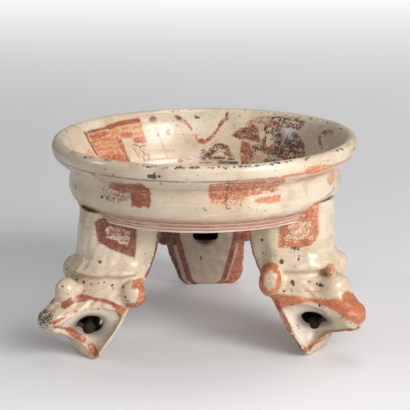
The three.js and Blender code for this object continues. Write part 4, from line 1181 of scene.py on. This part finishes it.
FLOOR_SIZE = 9
FLOOR_SHADE = colour(218, 218, 220)
FLOOR_LIGHT = colour(231, 230, 231)
FLOOR_GLOW = 0.08
GLOW_FAR = 0.77
GLOW_NEAR = 0.2
SKY = 0.18
SKY_SEEN = 0.6
LIT_PLACE = (0, 0, 0.08)
# Each lamp's name, place, size and power.
LAMPS = [
    ("key", (1.15, -1.15, 0.85), (0.8, 0.9), 27.5), ("front", (0.35, -1.3, 0.9), (0.5, 0.4), 3),
    ("fill", (-1.3, -0.1, 0.62), (0.16, 0.16), 2.2), ("top", (0.3, 0.3, 1.7), (0.8, 0.8), 6),
]

bpy.ops.mesh.primitive_plane_add(size=FLOOR_SIZE)
floor = bpy.context.object
floor.name = "floor"
floor_coat = bpy.data.materials.new("studio floor")
floor_coat.use_nodes = True
floor_tree = floor_coat.node_tree
floor_shader = floor_tree.nodes["Principled BSDF"]
floor_place = add(floor_tree, "ShaderNodeSeparateXYZ",
                  {0: add(floor_tree, "ShaderNodeTexCoord").outputs["Object"]})
# Painted shade: the floor is darker towards the left.
across = span(floor_tree, floor_place.outputs[0], -0.35, 0.3)
floor_tone = mixed(floor_tree, across, FLOOR_SHADE, FLOOR_LIGHT)
floor_tree.links.new(floor_tone, floor_shader.inputs["Base Color"])
floor_shader.inputs["Roughness"].default_value = 0.6
far_off = span(floor_tree, floor_place.outputs[1], 0.2, 2.6)
seen = add(floor_tree, "ShaderNodeLightPath").outputs["Is Camera Ray"]
# Painted light: the floor glows brighter just in front of the pot.
near_by = span(floor_tree, floor_place.outputs[1], -0.04, -0.3)
glow = plus(floor_tree, times(floor_tree, far_off, GLOW_FAR), FLOOR_GLOW)
glow = plus(floor_tree, glow, times(floor_tree, near_by, GLOW_NEAR))
glow = times(floor_tree, glow, seen)
floor_shader.inputs["Emission Color"].default_value = (1, 1, 1, 1)
floor_tree.links.new(glow, floor_shader.inputs["Emission Strength"])
floor.data.materials.append(floor_coat)


for lamp_name, lamp_place, lamp_size, power in LAMPS:
    light = bpy.data.lights.new(lamp_name, "AREA")
    light.shape = "RECTANGLE"
    light.size, light.size_y = lamp_size
    light.energy = power
    lamp = bpy.data.objects.new(lamp_name, light)
    lamp.location = lamp_place
    lamp.rotation_euler = (Vector(LIT_PLACE) - lamp.location).to_track_quat("-Z", "Y").to_euler()
    bpy.context.scene.collection.objects.link(lamp)

world = bpy.data.worlds.new("studio")
world.use_nodes = True
sky = world.node_tree
sky.nodes["Background"].inputs[0].default_value = (1, 1, 1, 1)
sky_seen = add(sky, "ShaderNodeLightPath").outputs["Is Camera Ray"]
sky_strength = plus(sky, times(sky, sky_seen, SKY_SEEN), SKY)
sky.links.new(sky_strength, sky.nodes["Background"].inputs[1])
bpy.context.scene.world = world

# The camera's distance and height in millimetres, its angles, and its focal length in pixels.
VIEW_BACK = 850.0
VIEW_HEIGHT = 293.8
VIEW_DOWN = 0.2467
VIEW_ROLL = 0.0098
VIEW_FOCAL = 1387.2
PHOTO_WIDTH = 410

camera_data = bpy.data.cameras.new("camera")
camera_data.lens = camera_data.sensor_width * VIEW_FOCAL / PHOTO_WIDTH
camera = bpy.data.objects.new("camera", camera_data)
view_place = (bowl_axis[0] * MM, (bowl_axis[1] - VIEW_BACK) * MM, VIEW_HEIGHT * MM)
camera.matrix_world = (Matrix.Translation(view_place) @ Matrix.Rotation(math.pi / 2 - VIEW_DOWN, 4, "X")
                       @ Matrix.Rotation(-VIEW_ROLL, 4, "Z"))
bpy.context.scene.collection.objects.link(camera)
bpy.context.scene.camera = camera
bpy.context.scene.view_settings.view_transform = "Standard"
